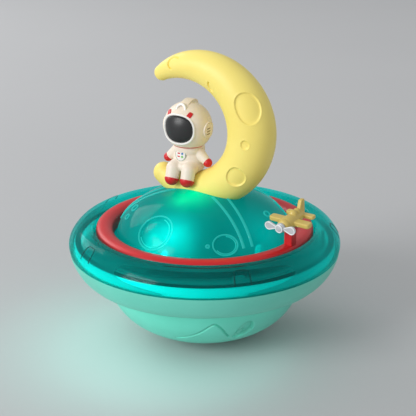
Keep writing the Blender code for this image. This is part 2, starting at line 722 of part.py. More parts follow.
def make_figure_body(mats, axis, centre, moon_tool):
    body = part("figure_body", ellipsoid_mesh("torso", (8.4, 6.4, 9.5), 14, 9), mats["cream"], axis)
    body.location = (centre + Vector((0, 0, 101.5))) * MM
    limbs = []
    for side in (-1, 1):
        hip = (side * 3.4, -1.5, 97.4)
        knee = (side * 4.6 - 0.6, -7.4, 96.0)
        ankle = (side * 4.7 - 0.6, -9.2, 90.9)
        shoulder = (side * 6.2, 0.0, 104.4)
        hand = (side * 12.2, -1.4, 99.8)
        limbs += [(hip, 4.2, knee, 3.8), (knee, 3.8, ankle, 3.9), (shoulder, 3.2, hand, 2.4)]
    for k, (start, start_r, end, end_r) in enumerate(limbs):
        tool = cutter(f"figure_limb_{k + 1}", limb_mesh("limb", start, start_r, end, end_r))
        tool.location = centre * MM
        boolean(body, tool, "UNION")
    neck_cut = cutter("neck_cut", box_mesh("neck", (30, 30, 20)))
    neck_cut.location = (centre + Vector((0, 0, NECK_Z + 10))) * MM
    pack = part("figure_backpack", box_mesh("pack", (11, 4.4, 11)), mats["cream"], axis)
    pack.location = (centre + Vector((0, 8.0, 101.8))) * MM
    bevel(pack, 1.4, 2)
    pack_space = cutter("pack_space", box_mesh("space", (12, 5, 12)))
    pack_space.location = pack.location
    for tool in (neck_cut, moon_tool, pack_space):
        boolean(body, tool)


def make_helmet(mats, axis, centre):
    """Round helmet with a crest over the top and a raised disc on each ear."""
    head = part("figure_helmet", ellipsoid_mesh("helmet", HEAD_RADII, 18, 11), mats["cream"], axis)
    head.location = (centre + Vector((0, 0, HEAD_Z))) * MM
    crest = cutter("crest", rod_mesh("crest", 12.4, -2.7, 2.7, 20))
    crest.matrix_basis = placed(centre + Vector((0, 1.5, HEAD_Z + 2.4)), (1, 0, 0), (0, 1, 0))
    ears = cutter("ears", rod_mesh("ears", 4.1, -HEAD_RADII[0] - 0.5, HEAD_RADII[0] + 0.5, 12))
    ears.matrix_basis = placed(centre + Vector((0, 0, HEAD_Z - 1)), (1, 0, 0), (0, 1, 0))
    collar_cut = cutter("collar_cut", box_mesh("collar", (30, 30, 20)))
    collar_cut.location = (centre + Vector((0, 0, NECK_Z + GAP - 10))) * MM
    boolean(head, crest, "UNION")
    boolean(head, ears, "UNION")
    boolean(head, collar_cut)
    return head


def make_visor(mats, axis, centre, head):
    radii = (8.4, 6.4, 7.5)
    place = (centre + Vector((0, -6.2, HEAD_Z - 1.2))) * MM
    visor = part("figure_visor", ellipsoid_mesh("visor", radii, 16, 9), mats["black"], axis)
    visor.location = place
    socket = cutter("visor_socket", ellipsoid_mesh("socket", [r + GAP for r in radii], 16, 9))
    socket.location = place
    boolean(head, socket)


# ---------------------------------------------------------------- orbit ring and plane

def make_orbit_ring(mats, axis):
    low, top = RING_FLOOR_Z, RING_TOP_Z
    profile = [(RING_IN_R, top - 3.3), (51.2, top - 1.7), (53.6, top - 0.3), (56.8, top),
               (59.2, top - 1.0), (RING_OUT_R, top - 2.8), (RING_OUT_R, low + 0.4),
               (59.6, low), (51.1, low), (RING_IN_R, low + 0.4)]
    ring = turned("orbit_ring", profile, mats["red"], axis)
    top_z = PLANE_Z - POST_DROP
    post = cutter("plane_post", box_mesh("post", (POST_SIDE, POST_SIDE, top_z - 62)))
    post.matrix_basis = placed(polar(PLANE_R - 1.0, PLANE_ANGLE, (top_z + 62) / 2), (0, 0, 1),
                               polar(1, PLANE_ANGLE))
    boolean(ring, post, "UNION")


def plane_frame():
    """Local Z is the heading, local Y is up and local X points away from the spin axis."""
    level = polar(1, PLANE_ANGLE - math.pi / 2)
    heading = level * math.cos(PLANE_DIVE) + Vector((0, 0, -math.sin(PLANE_DIVE)))
    return placed(polar(PLANE_R, PLANE_ANGLE, PLANE_Z), heading, polar(1, PLANE_ANGLE))


def make_plane(mats, axis):
    frame = plane_frame()
    hull = [(0, NOSE_REACH), (2.6, NOSE_REACH), (3.4, NOSE_REACH - 1.2), (3.7, 4.0), (3.3, -3.0),
            (2.0, -9.0), (0, -10.2)]
    body = turned("plane_body", hull, mats["yellow"], axis, 12, closed=False)
    body.matrix_basis = frame
    upright = Matrix.Rotation(math.pi / 2, 4, "X")
    wing = slab_mesh("wing", ((-10.4, 2.7, 1.6), (-10.4, 1.1, 1.6), (10.4, 2.7, 1.6),
                              (10.4, 1.1, 1.6)), 2.4)
    tail = slab_mesh("tail", ((-6.2, -8.0, 1.9), (6.2, -8.0, 1.9)), 1.8)
    fin = slab_mesh("fin", ((0, -7.6, 2.4), (7.2, -8.8, 1.6), (4.0, -8.4, 1.9)), 1.8)
    cockpit = ellipsoid_mesh("cockpit", (2.2, 2.4, 3.6), 10, 7)
    pieces = (("plane_wing", wing, upright), ("plane_stabiliser", tail, upright),
              ("plane_fin", fin, upright @ Matrix.Rotation(math.pi / 2, 4, "Y")),
              ("plane_cockpit", cockpit, Matrix.Translation(Vector((0, 2.6, 0)) * MM)))
    for name, mesh, turn in pieces:
        tool = cutter(name, mesh)
        tool.matrix_basis = frame @ turn
        boolean(body, tool, "UNION")
    pin_hole = cutter("pin_hole", rod_mesh("hole", 1.0, NOSE_REACH - 4, NOSE_REACH + 2, 12))
    pin_hole.matrix_basis = frame
    boolean(body, pin_hole)

    pin = turned("propeller_pin", [(0, 2.9), (1.5, 2.9), (1.8, 2.5), (1.8, 2.2), (0.7, 2.2),
                                   (0.7, -3.0), (0, -3.0)], mats["steel"], axis, 12, closed=False)
    pin.matrix_basis = frame @ Matrix.Translation(Vector((0, 0, NOSE_REACH * MM)))

    hinge = empty("propeller_axis", axis,
                  frame @ Matrix.Translation(Vector((0, 0, (NOSE_REACH + 1.1) * MM))))
    propeller = part("propeller", rod_mesh("hub", 2.5, -0.8, 0.8, 16), mats["silver"], hinge)
    for k, side in enumerate((-1, 1)):
        blade = cutter(f"blade_{k + 1}", slab_mesh("blade", ((side * PROPELLER_REACH, 0, 2.35),
                                                             (side * 2.0, 0, 1.0)), 1.4, 12))
        blade.matrix_basis = hinge.matrix_basis
        boolean(propeller, blade, "UNION")
    bore = cutter("propeller_bore", rod_mesh("bore", 1.0, -3, 3, 12))
    bore.matrix_basis = hinge.matrix_basis
    boolean(propeller, bore)


# ---------------------------------------------------------------- assembly

clear_scene()
PARTS = new_collection("light_up_spinning_top")
CUTTERS = new_collection("cutters")
materials = make_materials()
foot_axis = empty("foot_axis")
top_axis = empty("top_axis", foot_axis)
orbit_axis = empty("orbit_axis", top_axis)
moon_space = solid_moon("moon_space", GAP + 0.1)
moon_holes = moon_hole_cutters()

make_foot(materials, foot_axis)
make_bearing_top(materials, top_axis)
make_skirt(materials, top_axis)
make_bowl(materials, top_axis)
make_flywheel(materials, top_axis)
deck = make_deck(materials, top_axis)
make_casing_screws(materials, top_axis)
make_rim(materials, top_axis)
make_light_guide(materials, top_axis)
make_clips(materials, top_axis)
make_dome(materials, top_axis, moon_space)
make_drum(materials, top_axis, moon_holes)
make_lights(materials, top_axis)
make_control_board(materials, top_axis, deck)
make_battery(materials, top_axis)
make_button(materials, top_axis)
make_moon(materials, top_axis, moon_holes)
make_figure(materials, top_axis, moon_space)
make_orbit_ring(materials, orbit_axis)
make_plane(materials, orbit_axis)
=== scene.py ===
"""Looks of the light-up spinning top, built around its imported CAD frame.

Lengths are in millimetres and become metres when a mesh is made. The spin axis is Z, and the moon and
the figure face -Y. Angles round the spin axis start at +X.
"""

import math

import bmesh
import bpy
import numpy as np
from mathutils import Matrix, Vector


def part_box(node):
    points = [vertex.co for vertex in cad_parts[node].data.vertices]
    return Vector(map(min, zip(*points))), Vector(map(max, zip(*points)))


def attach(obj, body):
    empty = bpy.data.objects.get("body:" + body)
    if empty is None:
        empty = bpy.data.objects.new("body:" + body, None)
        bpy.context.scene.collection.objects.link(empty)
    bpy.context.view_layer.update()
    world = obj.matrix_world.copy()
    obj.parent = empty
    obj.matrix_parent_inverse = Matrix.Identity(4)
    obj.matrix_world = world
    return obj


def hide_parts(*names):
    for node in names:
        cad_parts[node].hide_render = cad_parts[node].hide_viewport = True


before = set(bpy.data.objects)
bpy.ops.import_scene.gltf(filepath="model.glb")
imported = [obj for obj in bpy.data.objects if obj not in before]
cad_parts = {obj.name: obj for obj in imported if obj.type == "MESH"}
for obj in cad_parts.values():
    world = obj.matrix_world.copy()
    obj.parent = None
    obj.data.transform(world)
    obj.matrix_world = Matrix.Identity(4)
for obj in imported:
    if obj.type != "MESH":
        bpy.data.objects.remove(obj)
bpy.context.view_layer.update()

MM = 0.001
GAP = 0.3
FINE = 192  # steps of a full turn on the large shells


def extent(node):
    """Lowest and highest corner of a CAD node, in millimetres."""
    low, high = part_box(node)
    return np.array(low) / MM, np.array(high) / MM


# ------------------------------------------------------------ sizes, from the frame where it has them

SAUCER_R = extent("clear_rim")[1][0]
SEAM_Z = extent("clear_rim")[0][2] - 0.2
BOWL_R, BOWL_DEPTH, BOWL_POWER, BOWL_WALL = 54.4, 36.4, 2.3, 2.2
BOWL_TOP_Z = SEAM_Z - 14.0
FOOT_HOLE_R = 16.2
BEARING_R, BEARING_TOP = 6.5, 11.8

DOME_R, DOME_HEIGHT, DOME_POWER, DOME_WALL = 48.8, 28.4, 1.95, 2.0
DOME_Z = SEAM_Z + 6.0
FLANGE_Z = 54.2
DOME_FOOT_Z = extent("dome")[0][2]
DRUM_R = extent("lamp_drum")[1][0]
DRUM_LOW_Z, DRUM_TOP_Z = extent("lamp_drum")[0][2], extent("lamp_drum")[1][2]

MOON_X, MOON_Z, MOON_A, MOON_B = -6.5, SEAM_Z + 66.2, 34.6, 33.8
MOON_TIPS = math.radians(-123.4), math.radians(123.9)
MOON_MIDDLE, MOON_HALF_TURN = sum(MOON_TIPS) / 2, (MOON_TIPS[1] - MOON_TIPS[0]) / 2
MOON_LOW_HALF, MOON_TOP_HALF, MOON_MAX_HALF = 6.0, 4.3, 13.1
MOON_TAPER, MOON_DEPTH = 1.8, 0.92
MOON_WALL = 1.8
PARTING = 0.015  # half the line that shows between the moon's two shells

FIGURE = np.array([-9.5, -1.0, 0.0])
HEAD_Z, NECK_Z = 119.7, 108.5
HEAD = FIGURE + np.array([0, 0, HEAD_Z])
HEAD_RADII = np.array([13.3, 12.0, 13.0])
CHEST, CHEST_RADII = FIGURE + np.array([0, 0, 102.2]), np.array([8.7, 6.4, 9.5])
BADGE_X, BADGE_Z = -1.4, 1.6  # from the middle of the chest

RING_LOW_Z, RING_TOP_Z = extent("orbit_ring")[0][2], 65.3
PLANE_ANGLE, PLANE_R, PLANE_Z = math.radians(-9.0), 57.0, 78.8
PLANE_DIVE = math.radians(5)
NOSE_REACH = 10.2
PROPELLER_REACH = 6.75

SCREW_ANGLES = [math.radians(45 + 90 * k) for k in range(4)]
SCREW_CIRCLE_R = 58.2
LED_ANGLES = [math.radians(-97 + 90 * k) for k in range(4)]
LED_POWERS = [1.0, 0.04, 0.3, 0.3]
LED_CIRCLE_R = 36.0
HATCH_ANGLE, HATCH_CIRCLE_R, HATCH_R, HATCH_SCREW_X = math.radians(75), 38.0, 11.0, 8.0
BUTTON_ANGLE, BUTTON_CIRCLE_R, BUTTON_HOLE_R = math.radians(130), 44.0, 4.6


# ---------------------------------------------------------------- meshes from grids of points

def shade(mesh, sharp=40):
    mesh.shade_smooth()
    mesh.set_sharp_from_angle(angle=math.radians(sharp))


def transformed(mesh, matrix=None):
    if matrix is not None:
        mesh.transform(matrix)
    return mesh


def from_bmesh(name, bm, sharp=40, matrix=None):
    mesh = bpy.data.meshes.new(name)
    bm.to_mesh(mesh)
    bm.free()
    shade(mesh, sharp)
    return transformed(mesh, matrix)


def add_object(name, data):
    obj = bpy.data.objects.new(name, data)
    bpy.context.scene.collection.objects.link(obj)
    return obj


def finish_mesh(name, points, faces, sharp=40):
    mesh = bpy.data.meshes.new(name)
    mesh.from_pydata((np.asarray(points) * MM).tolist(), [], np.asarray(faces).tolist())
    bm = bmesh.new()
    bm.from_mesh(mesh)
    bmesh.ops.remove_doubles(bm, verts=bm.verts, dist=0.000005)
    bmesh.ops.recalc_face_normals(bm, faces=bm.faces)
    bm.to_mesh(mesh)
    bm.free()
    shade(mesh, sharp)
    return mesh


def grid_mesh(name, points, close_rows=False, close_columns=True, sharp=40):
    """Skin over a grid of points. Rows that lie in one point become a pole."""
    rows, columns = points.shape[:2]
    index = np.arange(rows * columns).reshape(rows, columns)
    if close_rows:
        index = np.vstack([index, index[:1]])
    if close_columns:
        index = np.hstack([index, index[:, :1]])
    faces = np.stack([index[:-1, :-1], index[:-1, 1:], index[1:, 1:], index[1:, :-1]], -1)
    return finish_mesh(name, points.reshape(-1, 3), faces.reshape(-1, 4), sharp)


def turn(count):
    return np.arange(count) * math.tau / count


def revolved(outline, angles):
    outline = np.asarray(outline, float)
    radius, height = outline[:, :1], outline[:, 1:]
    return np.stack([radius * np.cos(angles), radius * np.sin(angles), height + 0 * angles], -1)


def lathe(name, outline, steps=FINE, closed=True, sharp=40):
    return grid_mesh(name, revolved(outline, turn(steps)), close_rows=closed, sharp=sharp)


def arc(centre, radii, start, end, count, power=2.0):
    """Points of a (super)ellipse arc in an outline, angles in degrees from the outward axis."""
    angle = np.radians(np.linspace(start, end, count))
    c, s = np.cos(angle), np.sin(angle)
    c, s = [np.sign(v) * np.abs(np.round(v, 12)) ** (2 / power) for v in (c, s)]
    return np.stack([centre[0] + radii[0] * c, centre[1] + radii[1] * s], 1).tolist()


def smooth(points, steps=6):
    """A soft curve through points (Catmull-Rom)."""
    p = np.array(points, float)
    p = np.vstack([2 * p[0] - p[1], p, 2 * p[-1] - p[-2]])
    t = np.linspace(0, 1, steps, endpoint=False)[:, None]
    spans = [0.5 * (2 * b + (c - a) * t + (2 * a - 5 * b + 4 * c - d) * t ** 2
                    + (3 * b - a - 3 * c + d) * t ** 3) for a, b, c, d in zip(p, p[1:], p[2:], p[3:])]
    return np.vstack(spans + [p[-2:-1]]).tolist()


def fillet(points, radius, steps=4):
    """A closed outline with each corner rounded off."""
    p = np.array(points, float)
    rounded = []
    for before, corner, after in zip(np.roll(p, 1, 0), p, np.roll(p, -1, 0)):
        legs = [before - corner, after - corner]
        reach = min([radius] + [np.linalg.norm(leg) * 0.45 for leg in legs])
        a, b = [corner + leg / np.linalg.norm(leg) * reach for leg in legs]
        for t in np.linspace(0, 1, steps):
            rounded.append((1 - t) ** 2 * a + 2 * t * (1 - t) * corner + t ** 2 * b)
    return np.array(rounded).tolist()


def unit(vectors):
    return vectors / np.maximum(np.linalg.norm(vectors, axis=-1, keepdims=True), 1e-9)


def superellipse(angles, power):
    """Both coordinates of points on a superellipse with half axes of 1."""
    c, s = np.cos(angles), np.sin(angles)
    reach = (np.abs(c) ** power + np.abs(s) ** power) ** (-1 / power)
    return reach * c, reach * s


def normals(points, centre):
    """Outward unit normals of a grid whose columns close on themselves."""
    across = np.roll(points, -1, 1) - np.roll(points, 1, 1)
    n = unit(np.cross(across, np.gradient(points, axis=0)))
    return n * np.sign((n * (points - centre)).sum(-1, keepdims=True))


def step(x, edge, width):
    """0 below edge and 1 above it, eased over width."""
    t = np.clip((x - edge) / width + 0.5, 0, 1)
    return t * t * (3 - 2 * t)


def ridge(distance, width):
    """1 on a line and 0 beyond half a width from it."""
    return np.clip(1 - (2 * distance / width) ** 2, 0, 1) ** 1.5


def line_distance(u, v, points):
    """Distance of (u, v) from a run of straight lines."""
    best = np.full(np.shape(u), 1e9)
    for (u0, v0), (u1, v1) in zip(points, points[1:]):
        du, dv = u1 - u0, v1 - v0
        t = np.clip(((u - u0) * du + (v - v0) * dv) / (du * du + dv * dv), 0, 1)
        best = np.minimum(best, np.hypot(u - u0 - t * du, v - v0 - t * dv))
    return best


def winding(u, v, points):
    """1 inside a closed run of straight lines and 0 outside it."""
    total = np.zeros(np.shape(u))
    for (u0, v0), (u1, v1) in zip(points, points[1:]):
        a, b = np.arctan2(v0 - v, u0 - u), np.arctan2(v1 - v, u1 - u)
        total += (b - a + math.pi) % math.tau - math.pi
    return (np.abs(total) > math.pi).astype(float)


def bead(name, path, outward, half_width, height, closed=True, sink=0.3):
    """A rounded bead that lies on a surface along a path; outward are the surface normals."""
    path, outward = np.asarray(path, float), np.asarray(outward, float)
    ahead = np.roll(path, -1, 0) - np.roll(path, 1, 0) if closed else np.gradient(path, axis=0)
    side = unit(np.cross(ahead, outward))
    ring = np.linspace(0, math.pi, 11)
    section = [(math.cos(t) * half_width, math.sin(t) * height) for t in ring]
    section += [(-half_width, -sink), (half_width, -sink)]
    points = np.stack([path + side * a + outward * b for a, b in section], 1)
    if not closed:
        ends = [np.repeat(points[k].mean(0)[None], len(section), 0)[None] for k in (0, -1)]
        points = np.concatenate([ends[0], points, ends[1]])
    return grid_mesh(name, points, close_rows=closed, sharp=60)


def with_modifiers(mesh, set_up, tools=()):
    """The mesh after modifiers; set_up(obj, tool_objects) adds them."""
    obj, *helpers = [add_object("work", part) for part in (mesh, *tools)]
    set_up(obj, helpers)
    graph = bpy.context.evaluated_depsgraph_get()
    result = bpy.data.meshes.new_from_object(obj.evaluated_get(graph))
    for o in [obj] + helpers:
        bpy.data.objects.remove(o)
    return result


def boolean(mesh, operation, *tools, sharp=40):
    def set_up(obj, helpers):
        for tool in helpers:
            mod = obj.modifiers.new("boolean", "BOOLEAN")
            mod.operation, mod.solver, mod.object = operation, "EXACT", tool
    result = with_modifiers(mesh, set_up, tools)
    shade(result, sharp)
    return result


def moulded(name, meshes, voxel, rounds):
    """Several closed shapes melted into one soft-edged casting."""
    def set_up(obj, _):
        mod = obj.modifiers.new("melt", "REMESH")
        mod.mode, mod.voxel_size, mod.use_smooth_shade = "VOXEL", voxel * MM, True
        mod = obj.modifiers.new("soften", "SMOOTH")
        mod.factor, mod.iterations = 0.5, rounds
    result = with_modifiers(joined(name, meshes), set_up)
    result.name = name
    shade(result, 60)
    return result


def shift(x, y, z):
    return Matrix.Translation(Vector((x, y, z)) * MM)


def ball(radii, centre=(0, 0, 0), steps=48):
    outline = arc((0, 0), (1, 1), 90, -90, steps // 2 + 1)
    points = revolved(outline, turn(steps)) * np.asarray(radii) + np.asarray(centre)
    return grid_mesh("ball", points)


def limb(start, start_r, end, end_r, steps=40):
    """A round-ended tapering limb from start to end."""
    start, end = Vector(start), Vector(end)
    length = (end - start).length
    lean = math.degrees(math.asin((start_r - end_r) / length))
    outline = arc((0, length), (end_r, end_r), 90, lean, 10) \
        + arc((0, 0), (start_r, start_r), lean, -90, 10)
    mesh = grid_mesh("limb", revolved(outline, turn(steps)))
    turned = (end - start).to_track_quat("Z", "Y").to_matrix().to_4x4()
    return transformed(mesh, shift(*start) @ turned)


def rod(radius, low, high, steps=64, round_off=0.0, matrix=None):
    outline = [(0, high), (radius - round_off, high)] \
        + arc((radius - round_off, high - round_off), (round_off, round_off), 90, 0, 5) \
        + arc((radius - round_off, low + round_off), (round_off, round_off), 0, -90, 5) + [(0, low)]
    return transformed(grid_mesh("rod", revolved(outline, turn(steps))), matrix)


def block(size, round_off, matrix=None, segments=3):
    bm = bmesh.new()
    bmesh.ops.create_cube(bm, size=1)
    bmesh.ops.scale(bm, vec=[s * MM for s in size], verts=bm.verts)
    if round_off:
        bmesh.ops.bevel(bm, geom=bm.edges, offset=round_off * MM, segments=segments, profile=0.5,
                        affect="EDGES")
    return from_bmesh("block", bm, matrix=matrix)


def plate(outline, thickness, round_off=0.3, matrix=None):
    """A flat outline in local XY, with thickness in Z and rounded edges."""
    bm = bmesh.new()
    bm.faces.new([bm.verts.new((x * MM, y * MM, -thickness / 2 * MM)) for x, y in outline])
    top = bmesh.ops.extrude_face_region(bm, geom=bm.faces[:])
    moved = [v for v in top["geom"] if isinstance(v, bmesh.types.BMVert)]
    bmesh.ops.translate(bm, vec=(0, 0, thickness * MM), verts=moved)
    rims = [e for e in bm.edges if abs(e.verts[0].co.z - e.verts[1].co.z) < 1e-7]
    bmesh.ops.bevel(bm, geom=rims, offset=round_off * MM, segments=3, profile=0.5, affect="EDGES")
    bmesh.ops.recalc_face_normals(bm, faces=bm.faces)
    return from_bmesh("plate", bm, 50, matrix)


def joined(name, meshes, sharp=40):
    bm = bmesh.new()
    for mesh in meshes:
        bm.from_mesh(mesh)
    return from_bmesh(name, bm, sharp)


def piece(name, mesh, mat, body, slot, *nodes):
    """A visible piece that rides on a body and stands for CAD nodes; mat is a key of MATS."""
    obj = add_object(name, mesh)
    mesh.materials.clear()
    mesh.materials.append(MATS[mat])
    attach(obj, body)
    if nodes:
        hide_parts(*nodes)
    return obj


def placed(position, z_axis, x_axis):
    """A matrix that puts local Z along z_axis, with local X as near x_axis as it can be."""
    z_dir = Vector(z_axis).normalized()
    y_dir = z_dir.cross(Vector(x_axis)).normalized()
    rotation = Matrix((y_dir.cross(z_dir), y_dir, z_dir)).transposed().to_4x4()
    return shift(*position) @ rotation


def polar(radius, angle, z=0.0):
    return Vector((radius * math.cos(angle), radius * math.sin(angle), z))


# ---------------------------------------------------------------- materials

def linear(rgb):
    channels = [c / 255 for c in rgb]
    return (*[c / 12.92 if c <= 0.04045 else ((c + 0.055) / 1.055) ** 2.4 for c in channels], 1.0)


class Nodes:
    """Short ways to add shader nodes to one material."""

    def __init__(self, name):
        self.mat = bpy.data.materials.new(name)
        self.mat.use_nodes = True
        self.tree = self.mat.node_tree
        self.shader = self.tree.nodes["Principled BSDF"]
        self.output = self.tree.nodes["Material Output"]
        self.coords = self.add("ShaderNodeTexCoord").outputs["Object"]

    def add(self, kind, **values):
        node = self.tree.nodes.new(kind)
        for key, value in values.items():
            setattr(node, key, value)
        return node

    def link(self, source, target):
        self.tree.links.new(source, target)

    def feed(self, target, value):
        """Links a socket's value, or sets a constant one."""
        if isinstance(value, bpy.types.NodeSocket):
            self.link(value, target)
        else:
            target.default_value = value

    def noise(self, scale, detail=2.0):
        node = self.add("ShaderNodeTexNoise")
        node.inputs["Scale"].default_value = scale
        node.inputs["Detail"].default_value = detail
        self.link(self.coords, node.inputs["Vector"])
        return node.outputs["Fac"]

    def ramp(self, source, low, high):
        """Maps the middle of a noise to low..high."""
        node = self.add("ShaderNodeMapRange")
        for key, value in (("From Min", 0.3), ("From Max", 0.7), ("To Min", low), ("To Max", high)):
            node.inputs[key].default_value = value
        self.link(source, node.inputs["Value"])
        return node.outputs["Result"]

    def mix(self, factor, first, second, **settings):
        node = self.add("ShaderNodeMix", data_type="RGBA", **settings)
        self.link(factor, node.inputs["Factor"])
        for socket, value in (("A", first), ("B", second)):
            self.feed(next(i for i in node.inputs if i.name == socket and i.type == "RGBA"), value)
        return next(o for o in node.outputs if o.type == "RGBA")

    def math(self, operation, first, second=0.0):
        node = self.add("ShaderNodeMath", operation=operation)
        for socket, value in zip(node.inputs, (first, second)):
            self.feed(socket, value)
        return node.outputs[0]

    def spot(self, centre, radius, strength):
        """Strength at a point (in mm) that eases to nothing at a radius from it."""
        away = self.add("ShaderNodeVectorMath", operation="DISTANCE")
        away.inputs[1].default_value = [c * MM for c in centre]
        self.link(self.coords, away.inputs[0])
        near = self.math("SUBTRACT", 1.0, self.math("DIVIDE", away.outputs["Value"], radius * MM))
        near = self.math("MAXIMUM", near, 0.0)
        return self.math("MULTIPLY", self.math("POWER", near, 1.7), strength)

    def bump(self, height, distance, strength=1.0):
        node = self.add("ShaderNodeBump")
        node.inputs["Strength"].default_value = strength
        node.inputs["Distance"].default_value = distance * MM
        self.link(height, node.inputs["Height"])
        return node.outputs["Normal"]

    def constant(self, **values):
        for key, value in values.items():
            self.shader.inputs[key.replace("_", " ")].default_value = value


def plastic(name, rgb, deep, roughness, grain=1800, bump=0.012, cloud=45, **constants):
    """Moulded plastic or vinyl: a faint cloud in the colour and a fine grain in the surface."""
    n = Nodes(name)
    n.constant(**constants)
    cloud_fac = n.ramp(n.noise(cloud, 3.0), 0.0, 1.0)
    n.link(n.mix(cloud_fac, linear(rgb), linear(deep)), n.shader.inputs["Base Color"])
    fine = n.noise(grain)
    n.link(n.ramp(fine, roughness - 0.04, roughness + 0.05), n.shader.inputs["Roughness"])
    n.link(n.bump(fine, bump), n.shader.inputs["Normal"])
    return n.mat


def clear_plastic(name, tint, body, opacity, soft_share, roughness=0.07, spots=(), edge=0.5,
                  base_glow=(0, 0, 0), specular=0.3):
    """Clear tinted plastic: a colour filter that also takes up some of the light.

    spots are (centre, radius, rgb, strength) of painted glow: pools of light painted into its emission
    where light shows through it. base_glow is an even painted glow over all of it.
    """
    n = Nodes(name)
    cloud = n.ramp(n.noise(30, 2.0), 0.0, 1.0)
    colour = n.mix(cloud, linear(body), linear([c * 0.94 for c in body]))
    n.link(colour, n.shader.inputs["Base Color"])
    fine = n.noise(260, 1.0)
    n.link(n.ramp(fine, roughness - 0.02, roughness + 0.03), n.shader.inputs["Roughness"])
    n.link(n.bump(fine, 0.006), n.shader.inputs["Normal"])
    n.constant(Specular_IOR_Level=specular)
    # painted glow: the light that shows through the plastic, painted into its emission
    if spots or any(base_glow):
        n.shader.inputs["Emission Strength"].default_value = 1.0
        total = n.mix(cloud, linear(base_glow), linear([c * 0.97 for c in base_glow]))
        for centre, radius, rgb, strength in spots:
            total = n.mix(n.spot(centre, radius, strength), total, linear(rgb), blend_type="ADD",
                          clamp_factor=False)
        n.link(total, n.shader.inputs["Emission Color"])
    through = n.add("ShaderNodeBsdfTransparent")
    n.link(n.mix(cloud, linear(tint), linear([c * 0.97 for c in tint])), through.inputs["Color"])
    soft = n.add("ShaderNodeBsdfTranslucent")
    n.link(colour, soft.inputs["Color"])
    body_mix = n.add("ShaderNodeMixShader")
    body_mix.inputs[0].default_value = soft_share
    n.link(n.shader.outputs[0], body_mix.inputs[1])
    n.link(soft.outputs[0], body_mix.inputs[2])
    rim = n.add("ShaderNodeLayerWeight")
    rim.inputs["Blend"].default_value = 0.35
    share = n.math("ADD", n.math("MULTIPLY", rim.outputs["Fresnel"], edge), opacity)
    share = n.math("MINIMUM", share, 0.95)
    mixed = n.add("ShaderNodeMixShader")
    n.link(share, mixed.inputs[0])
    n.link(through.outputs[0], mixed.inputs[1])
    n.link(body_mix.outputs[0], mixed.inputs[2])
    n.link(mixed.outputs[0], n.output.inputs["Surface"])
    return n.mat


def glowing(name, rgb, deep, strength, lobes=(), floor=0.0):
    """Lit plastic. lobes are (angle, power) pairs round the spin axis where it glows brighter: the glow
    of a lamp behind it, and painted light on a side the key light falls on.
    """
    n = Nodes(name)
    cloud = n.ramp(n.noise(60, 2.0), 0.0, 1.0)
    colour = n.mix(cloud, linear(rgb), linear(deep))
    n.link(colour, n.shader.inputs["Base Color"])
    n.link(colour, n.shader.inputs["Emission Color"])
    fine = n.noise(900)
    n.link(n.ramp(fine, 0.25, 0.4), n.shader.inputs["Roughness"])
    total = n.math("ADD", n.math("MULTIPLY", cloud, 0.1 * strength), floor * strength)
    if lobes:
        flat = n.add("ShaderNodeVectorMath", operation="MULTIPLY")
        flat.inputs[1].default_value = (1, 1, 0)
        n.link(n.coords, flat.inputs[0])
        unit = n.add("ShaderNodeVectorMath", operation="NORMALIZE")
        n.link(flat.outputs[0], unit.inputs[0])
        for angle, power in lobes:
            dot = n.add("ShaderNodeVectorMath", operation="DOT_PRODUCT")
            dot.inputs[1].default_value = (math.cos(angle), math.sin(angle), 0)
            n.link(unit.outputs[0], dot.inputs[0])
            half = n.math("MULTIPLY", n.math("ADD", dot.outputs["Value"], 1.0), 0.5)
            lobe = n.math("MULTIPLY", n.math("POWER", half, 5.0), power * strength)
            total = n.math("ADD", total, lobe)
    else:
        total = n.math("ADD", total, strength)
    n.link(total, n.shader.inputs["Emission Strength"])
    return n.mat


def metal(name, rgb, deep, roughness, grain=2500, bump=0.006, **constants):
    return plastic(name, rgb, deep, roughness, grain, bump, 120, Metallic=1.0, **constants)


def drum_diffuser():
    """White plastic with the green lamp's glow round one point of its top."""
    n = Nodes("drum_diffuser")
    cloud = n.ramp(n.noise(40, 2.0), 0.0, 1.0)
    n.link(n.mix(cloud, linear((150, 235, 222)), linear((140, 226, 212))),
           n.shader.inputs["Base Color"])
    n.link(n.ramp(n.noise(1200), 0.4, 0.5), n.shader.inputs["Roughness"])
    away = n.add("ShaderNodeVectorMath", operation="DISTANCE")
    away.inputs[1].default_value = (-0.008, -0.012, DRUM_TOP_Z * MM)
    n.link(n.coords, away.inputs[0])
    fade = n.add("ShaderNodeMapRange", interpolation_type="SMOOTHSTEP")
    for key, value in (("From Min", 0.020), ("From Max", 0.004), ("To Min", 0.02), ("To Max", 1.1)):
        fade.inputs[key].default_value = value
    n.link(away.outputs["Value"], fade.inputs["Value"])
    n.shader.inputs["Emission Color"].default_value = linear((20, 255, 150))
    n.link(fade.outputs["Result"], n.shader.inputs["Emission Strength"])
    return n.mat


